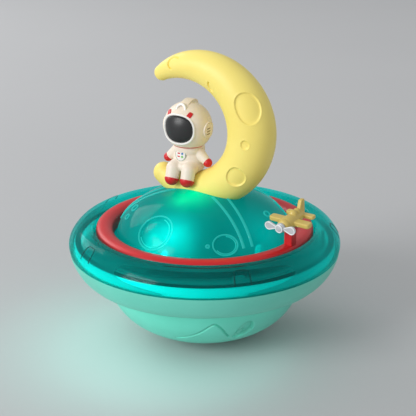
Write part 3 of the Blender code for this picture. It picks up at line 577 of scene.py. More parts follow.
MATS = {
    "mint": plastic("mint_plastic", (112, 216, 196), (106, 210, 189), 0.42, Coat_Weight=0.08,
                    Coat_Roughness=0.35),
    # the dome's base_glow and spots are painted glow: the light through it, painted into its emission
    "clear_teal": clear_plastic("clear_teal_plastic", (60, 215, 212), (0, 130, 126), 0.62, 0.4,
                                base_glow=(0, 139, 134), specular=0.1,
                                spots=[((3.0, -42.5, 71.2), 19.0, (0, 255, 250), 1.1),
                                       ((-3.0, -40.0, 72.5), 34.0, (0, 215, 215), 0.3),
                                       ((0.0, -12.0, 86.0), 19.0, (0, 255, 150), 1.25),
                                       ((40.0, -12.0, 68.0), 26.0, (0, 170, 166), 0.8),
                                       ((3.0, -16.0, 84.0), 32.0, (0, 200, 150), 0.35)]),
    # the rim's base_glow and its spots round the back are painted glow
    "rim_teal": clear_plastic("rim_teal_plastic", (164, 240, 238), (0, 172, 168), 0.14, 0.35, edge=0.5,
                              base_glow=(0, 40, 38), specular=0.7,
                              spots=[((-66.6, 17.9, 62.0), 52.0, (0, 205, 200), 0.9),
                                     ((-36.6, 58.5, 62.0), 52.0, (0, 205, 200), 1.0),
                                     ((12.0, 68.0, 62.0), 52.0, (0, 205, 200), 0.9),
                                     ((56.5, 39.6, 60.0), 50.0, (0, 190, 185), 0.6),
                                     ((72.0, -6.0, 60.0), 40.0, (0, 190, 185), 0.4)]),
    # a lighter copy of the clear teal with painted glow, for the raised beads: painted highlight
    "bead_teal_highlight": clear_plastic("bead_teal_plastic", (90, 230, 225), (70, 205, 197), 0.6, 0.4,
                               base_glow=(0, 165, 161),
                               spots=[((1.5, -42.5, 70.9), 24.0, (10, 255, 250), 0.8),
                                      ((2.0, -13.0, 85.5), 16.0, (0, 255, 150), 0.8)]),
    # a darker copy of the clear teal for the snap-tab outlines and the band's lip: painted shade
    "lip": clear_plastic("shaded_teal_plastic", (20, 120, 115), (0, 95, 90), 0.7, 0.2),
    "red": plastic("red_plastic", (216, 24, 32), (206, 20, 28), 0.4, Coat_Weight=0.05,
                   Coat_Roughness=0.2),
    "yellow": plastic("yellow_vinyl", (255, 236, 130), (252, 230, 120), 0.45),
    # a darker copy of the moon's yellow for the plane: painted shade
    "shaded_plane_yellow": plastic("shaded_plane_yellow", (224, 198, 110), (214, 188, 100), 0.35),
    "cream": plastic("cream_vinyl", (246, 234, 218), (240, 226, 208), 0.42),
    "white_rim": plastic("white_vinyl", (250, 247, 242), (244, 240, 234), 0.35),
    "black": plastic("black_gloss", (44, 44, 45), (38, 38, 39), 0.36, bump=0.002),
    "silver": plastic("silver_paint", (212, 216, 219), (204, 208, 212), 0.34, Metallic=0.2),
    # a whiter copy of the silver for the lines on the propeller and pin: painted highlight
    "bright": plastic("silver_painted_highlight", (246, 248, 249), (238, 241, 243), 0.3),
    "steel": metal("brushed_steel", (176, 178, 181), (150, 152, 156), 0.3),
    "rubber": plastic("grey_rubber", (70, 74, 76), (60, 64, 66), 0.8, bump=0.03),
    "white": plastic("white_plastic", (228, 240, 236), (218, 232, 228), 0.45),
    "board": plastic("circuit_board", (40, 150, 120), (30, 135, 105), 0.45, grain=700, bump=0.03),
    "chip": plastic("chip_black", (26, 26, 28), (20, 20, 23), 0.5),
    "cell": metal("cell_nickel", (192, 189, 180), (176, 172, 162), 0.22),
    "blue_dot": plastic("blue_paint", (70, 130, 190), (60, 120, 180), 0.4),
    "green_dot": plastic("green_paint", (130, 205, 110), (120, 195, 100), 0.4),
    "tan": plastic("tan_paint", (140, 118, 88), (130, 108, 78), 0.5),
    "sage": plastic("sage_paint", (168, 186, 166), (158, 177, 157), 0.45),
    # the light band glows from the lamps; its strong lobe at -122 degrees faces the key light and is
    # partly painted light
    "guide": glowing("guide_glow", (0, 255, 250), (0, 245, 238), 1.9,
                     [(math.radians(-122), 1.0), (math.radians(120), 0.3)], 0.2),
    "glow": glowing("lamp_glow", (40, 255, 245), (90, 255, 250), 4.0),
    "drum": drum_diffuser(),
    "green_glow": glowing("green_lamp_glow", (40, 255, 150), (90, 255, 170), 4.0),
}


# ---------------------------------------------------------------- lower casing

def skirt_shell():
    low = SEAM_Z - 13.8
    top = SEAM_Z - 0.12
    outer = arc((66.6, top), (SAUCER_R - 0.5 - 66.6, 13.2), 2, -80, 40, 1.45)
    inner = [(64.9, low + 2.2), (68.4, low + 4.9), (70.4, low + 8.2), (71.7, low + 11.2)]
    outline = [(SAUCER_R - 0.7, top)] + outer[1:] + smooth([(67.0, low + 0.25), (66.3, low)], 3) \
        + [(55.5, low), (55.2, low + 0.3), (55.2, low + 2.2)] + smooth(inner, 4) + [(72.3, top)]
    mesh = lathe("skirt_shell", outline)
    holes = [rod(2.8, low - 1, low + 3.2, matrix=shift(*polar(SCREW_CIRCLE_R, a)), steps=32)
             for a in SCREW_ANGLES]
    return boolean(mesh, "DIFFERENCE", *holes)


def bowl_outline(skin):
    """The bowl's wall and bearing hub, with that many points on its outer skin."""
    low = BOWL_TOP_Z + 2.8
    inner_r = BOWL_R - BOWL_WALL
    foot_z = BOWL_TOP_Z - BOWL_DEPTH
    seat = BEARING_TOP + GAP
    outer = arc((0, BOWL_TOP_Z), (BOWL_R, BOWL_DEPTH), 0, -73, skin, BOWL_POWER)
    hub = [(FOOT_HOLE_R + 0.9, foot_z), (FOOT_HOLE_R, foot_z + 0.4), (FOOT_HOLE_R, 5.7),
           (BEARING_R + GAP, 5.7), (BEARING_R + GAP, seat), (5.0, seat), (5.0, seat + 2),
           (9.0, seat + 2), (9.0, 7.9), (18.6, 7.9)]
    inner = arc((0, BOWL_TOP_Z), (inner_r, BOWL_DEPTH - BOWL_WALL), -62, 0, 24, BOWL_POWER)
    return outer + hub + inner + [(inner_r, low + 2), (63.0, low + 2), (63.0, low),
                                  (BOWL_R + 0.2, low)]


def bowl_relief(points):
    """Depth of the pressed-in mountain outline and of the long crater beside it."""
    azimuth = np.degrees(np.arctan2(points[..., 1], points[..., 0]))
    across = np.radians(azimuth + 55) * 48
    height = points[..., 2]
    peak = [(-22.0, 15.6), (-18.0, 17.0), (-13.1, 18.9), (-7.6, 22.5), (-3.5, 26.3), (-0.6, 27.6),
            (2.4, 24.6), (4.6, 21.0), (6.9, 17.6)]
    line = line_distance(across, height, smooth(peak, 4))
    fade = step(across, -21.0, 8.0)
    depth = 1.1 * ridge(line, 1.5) * fade
    mouth = [(9.6, 16.6), (10.7, 21.4), (12.9, 25.2), (16.0, 26.9), (18.5, 25.2), (19.5, 21.0),
             (16.6, 17.6), (12.6, 15.4), (9.6, 16.6)]
    closed = smooth(mouth, 5)
    inside = winding(across, height, closed)
    edge = line_distance(across, height, closed)
    depth += 1.9 * inside * step(edge, 0.15, 0.3) * (0.4 + 0.6 * step(across, 14.0, 5.0))
    depth += 0.7 * ridge(edge, 1.2) * (1 - inside * 0.6)
    islet = np.hypot((across - 12.9) / 2.1, (height - 19.6) / 1.7)
    depth += 0.7 * ridge(np.abs(islet - 1) * 1.9, 1.1) * inside
    return depth


def bowl_mesh(name):
    skin = 240
    edges = np.radians([-88, -28])
    dense = np.linspace(edges[0], edges[1], 260, endpoint=False)
    rest = np.linspace(edges[1], edges[0] + math.tau, 130, endpoint=False)
    points = revolved(bowl_outline(skin), np.concatenate([dense, rest]))
    outward = normals(points[:skin], np.array([0, 0, BOWL_TOP_Z]))
    points[:skin] -= outward * bowl_relief(points[:skin])[..., None]
    return grid_mesh(name, points, close_rows=True)


def skin_frame(circle_r, angle):
    """A frame on the bowl's skin whose Z points out of the bowl."""
    share = circle_r / BOWL_R
    drop = (1 - share ** BOWL_POWER) ** (1 / BOWL_POWER)
    slope = BOWL_POWER - 1
    normal = Vector((share ** slope / BOWL_R, -drop ** slope / BOWL_DEPTH)).normalized()
    position = polar(circle_r, angle, BOWL_TOP_Z - BOWL_DEPTH * drop)
    return placed(position, polar(normal.x, angle, normal.y), polar(1, angle + math.pi / 2))


def lower_casing():
    piece("skirt_shell", skirt_shell(), "mint", "top", "mint", "skirt")
    hatch = skin_frame(HATCH_CIRCLE_R, HATCH_ANGLE)
    button = skin_frame(BUTTON_CIRCLE_R, BUTTON_ANGLE)
    bowl = boolean(bowl_mesh("bowl_shell"), "DIFFERENCE", rod(HATCH_R, -6, 4, matrix=hatch),
                   rod(BUTTON_HOLE_R, -6, 4, matrix=button))
    piece("bowl_shell", bowl, "mint", "top", "mint", "base_bowl")

    wall = lathe("door", bowl_outline(60))
    door = boolean(wall, "INTERSECT", rod(HATCH_R - GAP, -6, 4, matrix=hatch))
    screw_hole = rod(2.4, -0.9, 4, matrix=hatch @ shift(HATCH_SCREW_X, 0, 0), steps=32)
    shaft_hole = rod(1.5, -6, 4, matrix=hatch @ shift(HATCH_SCREW_X, 0, 0), steps=24)
    grip = block((9, 1.0, 1.4), 0.45, hatch @ shift(-2.5, 0, 0.4))
    grips = [transformed(grip.copy(), hatch @ shift(0, dy, 0) @ hatch.inverted())
             for dy in (-3, 0, 3)]
    door = boolean(door, "DIFFERENCE", screw_hole, shaft_hole, *grips)
    piece("hatch_door", door, "mint", "top", "mint", "battery_door")

    profile = [(0, 0.75), (1.0, 0.8), (2.2, 1.08)] + smooth([(2.6, 1.1), (3.5, 0.75), (4.0, 0.2)], 4) \
        + [(4.2, -0.4), (4.2, -3.4), (5.6, -3.4), (5.6, -4.4), (1.4, -4.4), (1.4, -10), (0, -10)]
    mesh = transformed(lathe("button_cap", profile, 64, closed=False), button)
    piece("button_cap", mesh, "red", "button", "red", "power_button")


# ---------------------------------------------------------------- moon

def moon_stations(count, caps):
    """(share along the crescent from -1 to 1, tilt of the rounded end) for each ring."""
    lean = np.linspace(0, math.pi / 2, caps + 1)[1:]
    body = np.linspace(-1, 1, count)
    shares = np.concatenate([np.full(caps, -1.0), body, np.full(caps, 1.0)])
    return shares, np.concatenate([lean[::-1], np.zeros(count), lean])


def moon_half_width(shares):
    tip = np.where(shares < 0, MOON_LOW_HALF, MOON_TOP_HALF)
    return tip + (MOON_MAX_HALF - tip) * (1 - np.abs(shares) ** MOON_TAPER)


def moon_rings(turns, count, caps, grow=0.0):
    """Grid of points round the crescent's centre line; turns are angles round that line."""
    shares, tilts = moon_stations(count, caps)
    angle = MOON_MIDDLE + MOON_HALF_TURN * shares
    c, s = np.cos(angle), np.sin(angle)
    zero = np.zeros_like(c)
    centre = np.stack([MOON_X + MOON_A * c, zero, MOON_Z + MOON_B * s], -1)
    outward = unit(np.stack([MOON_B * c, zero, MOON_A * s], -1))
    along = unit(np.stack([-MOON_A * s, zero, MOON_B * c], -1))
    half_width = moon_half_width(shares)
    width = np.maximum(half_width + grow, 0.05)
    depth = np.maximum(half_width * MOON_DEPTH + grow, 0.05)
    centre += along * (np.sign(shares) * width * np.sin(tilts))[:, None]
    flat = np.cos(tilts)
    return centre[:, None] \
        + outward[:, None] * ((width * flat)[:, None] * np.cos(turns))[..., None] \
        + np.array([0, 1.0, 0]) * ((depth * flat)[:, None] * np.sin(turns))[..., None]


def moon_relief(points, turns, count, caps):
    """Depth of the craters, which are shallow discs with steep walls, and of two short arcs."""
    shares = moon_stations(count, caps)[0]
    angle, width = (MOON_MIDDLE + MOON_HALF_TURN * shares)[:, None], moon_half_width(shares)[:, None]
    reach = (MOON_A + MOON_B) / 2
    depth = np.zeros(points.shape[:2])
    craters = [(30.4, -9.9, 134.8, 8.4, 6.7, 0.9), (29.4, -12.0, 115.9, 2.25, 2.15, 0.7),
               (24.4, -11.6, 97.5, 5.4, 5.2, 0.9)]
    for cx, cy, cz, along_r, around_r, deep in craters:
        at = math.atan2((cz - MOON_Z) / MOON_B, (cx - MOON_X) / MOON_A)
        wide = float(moon_half_width(np.array([(at - MOON_MIDDLE) / MOON_HALF_TURN]))[0])
        out = math.hypot(cx - MOON_X, cz - MOON_Z) - reach
        facing = math.atan2(cy / (wide * MOON_DEPTH), out / wide)
        along = (reach + width * np.cos(turns)) * (angle - at)
        around = width * (turns - facing)
        away = np.hypot(along / along_r, around / around_r)
        depth += deep * (1 - step(away, 1.0, 0.7 / around_r))
        depth -= 0.1 * ridge(np.abs(away - 1) * around_r - 0.5, 1.0)
    x, z = points[..., 0], points[..., 2]
    for cx, cz, wide, tall, first, last in [(-14.3, 152.7, 4.9, 3.5, 72, 238),
                                            (9.8, 144.4, 3.1, 3.1, 150, 262)]:
        away = np.abs(np.hypot((x - cx) / wide, (z - cz) / tall) - 1) * (wide + tall) / 2
        turned = np.degrees(np.arctan2((z - cz) / tall, (x - cx) / wide)) % 360
        window = step(turned, first, 14) * (1 - step(turned, last, 14)) * (points[..., 1] < -1)
        depth += 1.2 * ridge(away, 1.1) * window
    return depth


def moon_half(name, side, count, around):
    """One moulded half shell: outer skin, and its inner skin behind it."""
    caps = 14
    turns = np.linspace(0.0, side * math.pi, around)
    outer = moon_rings(turns, count, caps)
    centre = moon_rings(np.zeros(1), count, caps, grow=-50)
    if side < 0:
        outer -= unit(outer - centre) * moon_relief(outer, turns, count, caps)[..., None]
    inner = moon_rings(turns[::-1][::6], count, caps, grow=-MOON_WALL)
    outer[..., 2] = np.maximum(outer[..., 2], DRUM_TOP_Z + GAP)
    inner[..., 2] = np.maximum(inner[..., 2], DRUM_TOP_Z + GAP + MOON_WALL)
    points = np.concatenate([outer, inner], axis=1)
    points[..., 1] = side * np.maximum(side * points[..., 1], PARTING)
    return grid_mesh(name, points, sharp=35)


def grown_moon(grow):
    """The whole crescent as one solid, grown by a clearance."""
    return grid_mesh("moon_space", moon_rings(turn(64), 110, 8, grow), sharp=180)


def moon():
    piece("moon_front_shell", moon_half("moon_front_shell", -1, 560, 170), "yellow", "top",
          "yellow", "moon_front")
    piece("moon_back_shell", moon_half("moon_back_shell", 1, 240, 72), "yellow", "top",
          "yellow", "moon_back")


# ---------------------------------------------------------------- clear saucer rim and dome

RIM_OUTER = smooth([(74.4, SEAM_Z - 0.06), (SAUCER_R, SEAM_Z + 3.0), (74.6, SEAM_Z + 5.8),
                    (73.3, SEAM_Z + 8.4), (71.1, SEAM_Z + 11.2), (68.8, SEAM_Z + 13.1),
                    (66.2, SEAM_Z + 14.0), (63.6, SEAM_Z + 13.8), (61.7, SEAM_Z + 12.9),
                    (61.0, SEAM_Z + 11.5)], 6)
CLIP_MIDDLES = [sum(extent(f"rim_clip_{k}")) / 2 for k in range(1, 6)]


def rim_clips():
    """Outlines of the snap tabs in the rim's skin: an upturned U over each hooked clip."""
    skin = np.array(RIM_OUTER)
    skin = skin[:np.argmax(skin[:, 1]) + 1]
    slope = unit(np.gradient(skin, axis=0))
    outline = np.array(smooth([(-4.2, 6.4), (-4.1, 8.6), (-3.8, 11.4), (-2.6, 12.6), (0.0, 12.8),
                               (2.6, 12.6), (3.8, 11.4), (4.1, 8.6), (4.2, 6.4)], 6))
    heights = outline[:, 1] + SEAM_Z
    radius, out, up = [np.interp(heights, skin[:, 1], value)
                       for value in (skin[:, 0], slope[:, 1], -slope[:, 0])]
    tabs = []
    for x, y, _ in CLIP_MIDDLES:
        angle = math.atan2(y, x) + outline[:, 0] / radius
        c, s = np.cos(angle), np.sin(angle)
        path = np.stack([radius * c, radius * s, heights], -1)
        tabs.append(bead("tab", path, np.stack([out * c, out * s, up], -1), 0.3, 0.12, False, 0.2))
    return joined("rim_clips", tabs, sharp=60)


def rim_shell():
    z = SEAM_Z
    inner = smooth([(62.6, z + 11.2), (64.0, z + 12.1), (66.1, z + 12.3), (68.0, z + 11.6),
                    (69.9, z + 9.9), (71.7, z + 7.5), (72.8, z + 5.4), (73.2, z + 3.0),
                    (72.7, z - 0.06)], 4)
    return lathe("rim_shell", RIM_OUTER + [(61.0, z + 5.0), (62.6, z + 5.0)] + inner)


def on_dome(points):
    """Points moved onto the dome's skin, straight away from its middle, and the normals there."""
    offset = points - np.array([0, 0, DOME_Z])
    radius, rise = np.hypot(offset[..., 0], offset[..., 1]), np.maximum(offset[..., 2], 0)
    share = ((radius / DOME_R) ** DOME_POWER + (rise / DOME_HEIGHT) ** DOME_POWER) ** (1 / DOME_POWER)
    offset = offset / share[..., None]
    radius, rise = radius / share, rise / share
    pull = DOME_POWER - 1
    flat = (radius / DOME_R) ** pull / DOME_R / np.maximum(radius, 1e-6)
    up = (rise / DOME_HEIGHT) ** pull / DOME_HEIGHT
    normal = np.stack([offset[..., 0] * flat, offset[..., 1] * flat, up], -1)
    return offset + np.array([0, 0, DOME_Z]), unit(normal)


RIB_ANGLES = [math.radians(a) for a in (-33, 57, 135, -159)]
DOME_CRATERS = [(-7.2, -41.4, 71.0, 10.2), (30.2, -33.6, 68.4, 6.6), (8.0, 42.0, 70.4, 9.5),
                (-38.5, 16.0, 70.8, 6.0), (34.0, 27.0, 70.6, 6.5)]
DOME_STUDS = [(37.2, 0.5, 75.6, 2.0), (22.6, -39.0, 68.2, 0.8), (-30.8, -22.9, 75.0, 2.4),
              (-33.0, -27.5, 71.0, 1.8), (-20.0, 33.0, 76.5, 2.4)]
BIG_CRATER_R = 8.0  # craters larger than this have a dome in their floor
SMALL_CRATER_R = 7.0  # and those smaller than this are a little flattened


def dome_ring(name, x, y, z, radius, half_width, height, first=0.0, last=360.0):
    """A raised ring, or part of one, on the dome round a point."""
    centre, normal = on_dome(np.array([x, y, z], float))
    side = unit(np.cross(normal, (0, 0, 1)))
    rise = np.cross(side, normal)
    full = last - first >= 360
    angles = np.radians(np.linspace(first, last, 97)[:-1] if full else np.linspace(first, last, 60))
    squash = 0.84 if radius < SMALL_CRATER_R else 1.0
    circle = centre + radius * (np.cos(angles)[:, None] * side
                                + squash * np.sin(angles)[:, None] * rise)
    path, outward = on_dome(circle)
    return bead(name, path, outward, half_width, height, closed=full)


def dome_beads():
    """The raised lines of the dome: paired ribs, crater rims and studs."""
    beads = []
    for angle in RIB_ANGLES:
        along = np.linspace(15.5, 46.5, 60)
        for side in (-1, 1):
            across = side * (4.3 - 0.038 * along)
            x = along * math.cos(angle) - across * math.sin(angle)
            y = along * math.sin(angle) + across * math.cos(angle)
            share = (np.hypot(x, y) / DOME_R) ** DOME_POWER
            z = DOME_Z + DOME_HEIGHT * (1 - share) ** (1 / DOME_POWER)
            path, outward = on_dome(np.stack([x, y, z], -1))
            beads.append(bead("rib", path, outward, 0.85, 0.5, closed=False))
    for x, y, z, radius in DOME_CRATERS:
        beads.append(dome_ring("crater", x, y, z, radius, 0.42, 0.4))
        beads.append(dome_ring("inner", x, y, z, radius * 0.84, 0.25, 0.2, 100, 330))
    for x, y, z, radius in DOME_STUDS:
        beads.append(dome_ring("stud", x, y, z, radius, 0.5, 0.55))
    return joined("dome_beads", beads, sharp=60)


def dome_relief(points):
    """Depth of the crater floors in the dome's skin."""
    depth = np.zeros(points.shape[:2])
    for x, y, z, radius in DOME_CRATERS:
        away = np.linalg.norm(points - on_dome(np.array([x, y, z], float))[0], axis=-1)
        depth += 0.5 * (1 - step(away, radius - 0.6, 1.0))
        depth -= 1.3 * np.clip(1 - (away / (radius * 0.72)) ** 2, 0, 1) ** 1.5 * (radius > BIG_CRATER_R)
    return depth


def dome_mesh():
    skin = 150
    outer = arc((0, DOME_Z), (DOME_R, DOME_HEIGHT), 89.6, 0, skin, DOME_POWER)
    inner = arc((0, DOME_Z), (DOME_R - DOME_WALL, DOME_HEIGHT - DOME_WALL), 0, 89.6, 40, DOME_POWER)
    top, low = FLANGE_Z + 2.0, DOME_FOOT_Z
    outline = outer + [(DOME_R, top), (62.4, top), (62.4, FLANGE_Z), (DOME_R, FLANGE_Z),
                       (DOME_R, low), (DOME_R - DOME_WALL, low)] + inner
    points = revolved(outline, turn(360))
    outward = normals(points[:skin], np.array([0, 0, DOME_Z - 20]))
    points[:skin] -= outward * dome_relief(points[:skin])[..., None]
    return grid_mesh("dome_shell", points, close_rows=True)


def clear_casing():
    piece("rim_shell", rim_shell(), "rim_teal", "top", "clear_teal", "clear_rim")
    # the tab outlines are dark lines of painted shade in the clear teal
    piece("rim_clips", rim_clips(), "lip", "top", "clear_teal")
    moon_space = grown_moon(GAP + 0.1)
    dome = boolean(dome_mesh(), "DIFFERENCE", moon_space)
    piece("dome_shell", dome, "clear_teal", "top", "clear_teal", "dome")
    beads = boolean(dome_beads(), "DIFFERENCE", moon_space)
    # the beads take the lighter teal, a painted highlight on the raised lines
    piece("dome_beads", beads, "bead_teal_highlight", "top", "clear_teal")
    low, high = extent("light_guide_ring")
    high[2] -= 1.0
    low[2] = SEAM_Z + 0.03
    guide = fillet([(68.6, high[2]), (72.0, high[2]), (72.0, low[2]), (68.6, low[2])], 0.3)
    piece("light_band", lathe("light_band", guide), "guide", "top", "glow", "light_guide_ring")
    lip = fillet([(68.4, high[2] + 0.9), (71.5, high[2] + 0.9), (71.5, high[2] + 0.45),
                  (68.4, high[2] + 0.45)], 0.15)
    # the lip above the band is a dark ring of painted shade in the clear teal
    piece("band_lip", lathe("band_lip", lip), "lip", "top", "clear_teal")


def lamp_drum():
    """The white drum that spreads the lamps' light and carries the moon."""
    wall = 1.5
    outer = arc((DRUM_R - 2.0, DRUM_TOP_Z - 2.0), (2.0, 2.0), 90, 0, 8)
    outline = [(0, DRUM_TOP_Z)] + outer + [(DRUM_R, DRUM_LOW_Z), (DRUM_R - wall, DRUM_LOW_Z)] \
        + arc((DRUM_R - wall - 1, DRUM_TOP_Z - wall - 1), (1, 1), 0, 90, 5) \
        + [(0, DRUM_TOP_Z - wall)]
    piece("drum_shell", lathe("drum_shell", outline, 128, closed=False), "drum", "top", "white",
          "lamp_drum")


# ---------------------------------------------------------------- seated figure

def at_figure(x, y, z):
    return tuple(FIGURE + np.array([x, y, z]))


def ankle_of(side):
    return (side * 4.7 - 0.6, -8.9, 91.0)


def shoulder_of(side):
    return (side * 6.6, 0.0, 104.6)


def hand_of(side):
    return (side * 12.2 + 0.5, -1.4, 100.2)


def suit():
    """Body, lap, legs and arms in one casting, cut clear of the moon, the pack and the helmet."""
    shapes = [ball((8.7, 6.6, 8.6), at_figure(0, 0, 100.2)),
              ball((8.2, 6.6, 6.4), at_figure(0, 0, 106.4)),
              ball((9.2, 6.6, 5.6), at_figure(0, 0.4, 97.0)),
              ball((5.4, 4.0, 3.0), at_figure(-0.6, -4.4, 97.2))]
    for side in (-1, 1):
        foot = ankle_of(side)
        hip, knee = (side * 3.6, -1.5, 97.6), (foot[0], foot[1] + 1.8, foot[2] + 5.2)
        shapes += [limb(at_figure(*hip), 4.6, at_figure(*knee), 4.0),
                   limb(at_figure(*knee), 4.0, at_figure(*foot), 3.7),
                   limb(at_figure(*shoulder_of(side)), 3.3, at_figure(*hand_of(side)), 2.2)]
    body = moulded("suit", shapes, 0.3, 5)
    neck = block((30, 30, 20), 0, shift(*at_figure(0, 0, NECK_Z + 10)))
    pack = block((12, 5, 12), 0, shift(*at_figure(0, 8, 101.8)))
    return boolean(body, "DIFFERENCE", neck, pack, grown_moon(GAP + 0.1))


def cap(radii, low, tilt):
    """The part of a ball beyond a flat cut at a share of its height, pointing along tilt."""
    outline = [(0, math.sin(math.radians(low)))] + arc((0, 0), (1, 1), low, 90, 24)
    mesh = grid_mesh("cap", revolved(outline, turn(64)) * np.array(radii), sharp=40)
    return transformed(mesh, tilt)


def boot(side):
    """Painted toe of a leg; the paint ends higher on the front."""
    return cap((4.0, 4.0, 4.0), 2, placed(at_figure(*ankle_of(side)), (0, -0.42, -0.9), (1, 0, 0)))


def glove(side):
    along = np.subtract(hand_of(side), shoulder_of(side))
    return cap((2.45, 2.5, 2.6), -22, placed(at_figure(*hand_of(side)), along, (0, 1, 0)))


VISOR_CENTRE = (-0.8, -0.7)
VISOR_HALF = (9.0, 7.6)
VISOR_POWER = 2.35
CHIN_POWER = 2.5  # the helmet's lower half is fuller than an ellipsoid
CROWN = 0.965  # and its upper half is flatter


def level_share(z):
    """Size of the helmet's level slice at a height, as a share of its size at the ears."""
    down = np.minimum(z, 0) / HEAD_RADII[2]
    up = np.maximum(z, 0) / HEAD_RADII[2] / CROWN
    full = np.maximum(1 - np.abs(down) ** CHIN_POWER, 1e-4) ** (1 / CHIN_POWER)
    return np.where(z < 0, full, np.sqrt(np.maximum(1 - up ** 2, 1e-4)))


def visor_share(x, z):
    """1 on the visor's outline, seen from the front, and less inside it."""
    u, v = np.abs(x - VISOR_CENTRE[0]) / VISOR_HALF[0], np.abs(z - VISOR_CENTRE[1]) / VISOR_HALF[1]
    return (u ** VISOR_POWER + v ** VISOR_POWER) ** (1 / VISOR_POWER)


def helmet_points(rows, columns):
    """Grid over the helmet, with its poles at the ears."""
    tilt = np.linspace(0, math.pi, rows)[:, None]
    angles = turn(columns)[None, :]
    ones = np.ones_like(angles)
    direction = np.stack([np.cos(tilt) * ones, np.sin(tilt) * np.cos(angles),
                          np.sin(tilt) * np.sin(angles)], -1)
    low = np.minimum(direction[..., 2], 0)
    circle = np.sqrt(np.maximum(1 - low ** 2, 1e-4))
    full = np.maximum(1 - np.abs(low) ** CHIN_POWER, 1e-4) ** (1 / CHIN_POWER)
    direction[..., :2] *= (full / circle)[..., None]
    direction[..., 2] = np.where(direction[..., 2] > 0, direction[..., 2] * CROWN, direction[..., 2])
    return direction * HEAD_RADII


def face_depth(x, z):
    """Y of the helmet's front skin."""
    return -HEAD_RADII[1] * np.sqrt(np.maximum(level_share(z) ** 2 - (x / HEAD_RADII[0]) ** 2, 0.02))


def helmet_mesh():
    """Helmet with a framed face opening, a crest over the top and discs on the ears."""
    points = helmet_points(300, 300)
    base = points.copy()
    x, y, z = base[..., 0], base[..., 1], base[..., 2]
    outward = unit(base / HEAD_RADII ** 2)
    crest = (1 - step(np.abs(x), 2.6, 0.6)) * step(z, 2.0, 3.0)
    crest_tall = 1.7 * np.clip((y + 6.0) / 9.5, 0, 1) * (1 - step(y, 6.5, 4.0))
    height = crest * crest_tall
    share = visor_share(x, z)
    ear = np.hypot(y + 0.5, z + 1.3)
    ears = (np.abs(x) > 8)
    height += 0.6 * (1 - step(ear, 4.4, 0.4)) * ears
    height -= 0.35 * ridge(np.abs(ear - 3.7), 0.6) * ears
    points = base + outward * height[..., None]
    pressed = (1 - step(share, 1.0, 0.05)) * (y < 0)
    points[..., 1] += 2.2 * pressed
    points += HEAD
    points[..., 2] = np.maximum(points[..., 2], NECK_Z + GAP)
    return grid_mesh("helmet_shell", points, sharp=60)


def visor_mesh():
    """Glossy bulging face plate set in the opening: a dished disc with the helmet's own curve."""
    share = np.sin(np.linspace(0, math.pi / 2, 40))[:, None] * 0.985
    u, v = superellipse(turn(128)[None, :], VISOR_POWER)
    x = VISOR_CENTRE[0] + share * u * VISOR_HALF[0]
    z = VISOR_CENTRE[1] + share * v * VISOR_HALF[1]
    y = face_depth(x, z)
    front, rear = [np.stack([x, depth, z], -1)
                   for depth in (y + 0.15 + 0.9 * step(share, 0.93, 0.12), y + 1.9)]
    points = np.concatenate([front, rear[::-1]])
    return grid_mesh("visor_glass", points + HEAD, sharp=50)


def visor_frame():
    """Raised white frame round the face plate."""
    u, v = superellipse(turn(160), VISOR_POWER)
    x = VISOR_CENTRE[0] + u * (VISOR_HALF[0] + 0.45)
    z = VISOR_CENTRE[1] + v * (VISOR_HALF[1] + 0.45)
    path = np.stack([x, face_depth(x, z), z], -1)
    return bead("visor_frame", path + HEAD, unit(path / HEAD_RADII ** 2), 0.62, 0.45, sink=0.5)


def painted_patch(name, u_half, v_half, centre, spin, tall, power=4.0, radii=HEAD_RADII,
                  middle=HEAD):
    """A thin painted patch that follows an ellipsoid, seen from the front (-Y)."""
    share = np.linspace(0, 1, 14)[:, None]
    u, v = superellipse(turn(64)[None, :], power)
    u, v = share * u * u_half, share * v * v_half
    x = centre[0] + u * math.cos(spin) - v * math.sin(spin)
    z = centre[1] + u * math.sin(spin) + v * math.cos(spin)
    y = -np.sqrt(np.clip(1 - (x / radii[0]) ** 2 - (z / radii[2]) ** 2, 0.02, 1)) * radii[1]
    base = np.stack([x, y, z], -1)
    outward = unit(base / radii ** 2)
    front = base + outward * (tall * (1 - 0.6 * step(share, 0.97, 0.1)))[..., None]
    rear = base - outward * 0.3
    return grid_mesh(name, np.concatenate([front, rear[::-1]]) + middle, sharp=50)


def hood():
    """Small rounded arch where the crest starts, over the brow."""
    outline = arc((0, 0), (3.2, 3.6), -8, 188, 24) + arc((0, 0), (2.0, 2.2), 188, -8, 20)
    tilt = placed(at_figure(-0.4, -6.2, HEAD_Z + 9.2), (0, -0.94, 0.34), (1, 0, 0))
    return plate(outline, 3.0, 0.3, tilt)


def ear_marks():
    """Three short strokes on each ear disc."""
    strokes = []
    y = np.linspace(-3.3, -0.8, 8)
    for side in (-1, 1):
        for k in (-1, 0, 1):
            z = -1.8 + 1.5 * k + 0.1 * (y + 2)
            x = HEAD_RADII[0] * np.sqrt(level_share(z) ** 2 - (y / HEAD_RADII[1]) ** 2) + 0.58
            path = np.stack([side * x, y, z], -1) + HEAD
            strokes.append(bead("mark", path, np.tile([side, -0.1, 0.0], (8, 1)), 0.3, 0.14,
                                False, 0.2))
    return joined("ear_marks", strokes)


def neck_line():
    collar = arc((0, NECK_Z + GAP / 2), (1, 0.45), 0, 360, 25)[:-1]
    points = revolved([(8.0 + 0.45 * r, z) for r, z in collar], turn(96)) * [1.0, 0.9, 1.0]
    return grid_mesh("neck_line", points + FIGURE * [1, 1, 0], close_rows=True)


def chest_patch(name, u_half, v_half, dx, dz, tall, power=2.0):
    return painted_patch(name, u_half, v_half, (BADGE_X + dx, BADGE_Z + dz), 0, tall, power,
                         CHEST_RADII, CHEST)


def chest_ring():
    """Thin line round the badge."""
    x, z = BADGE_X + 3.15 * np.cos(turn(64)), BADGE_Z + 3.25 * np.sin(turn(64))
    rx, ry, rz = CHEST_RADII
    path = np.stack([x, -ry * np.sqrt(1 - (x / rx) ** 2 - (z / rz) ** 2), z], -1)
    return bead("chest_ring", path + CHEST, unit(path), 0.16, 0.42)


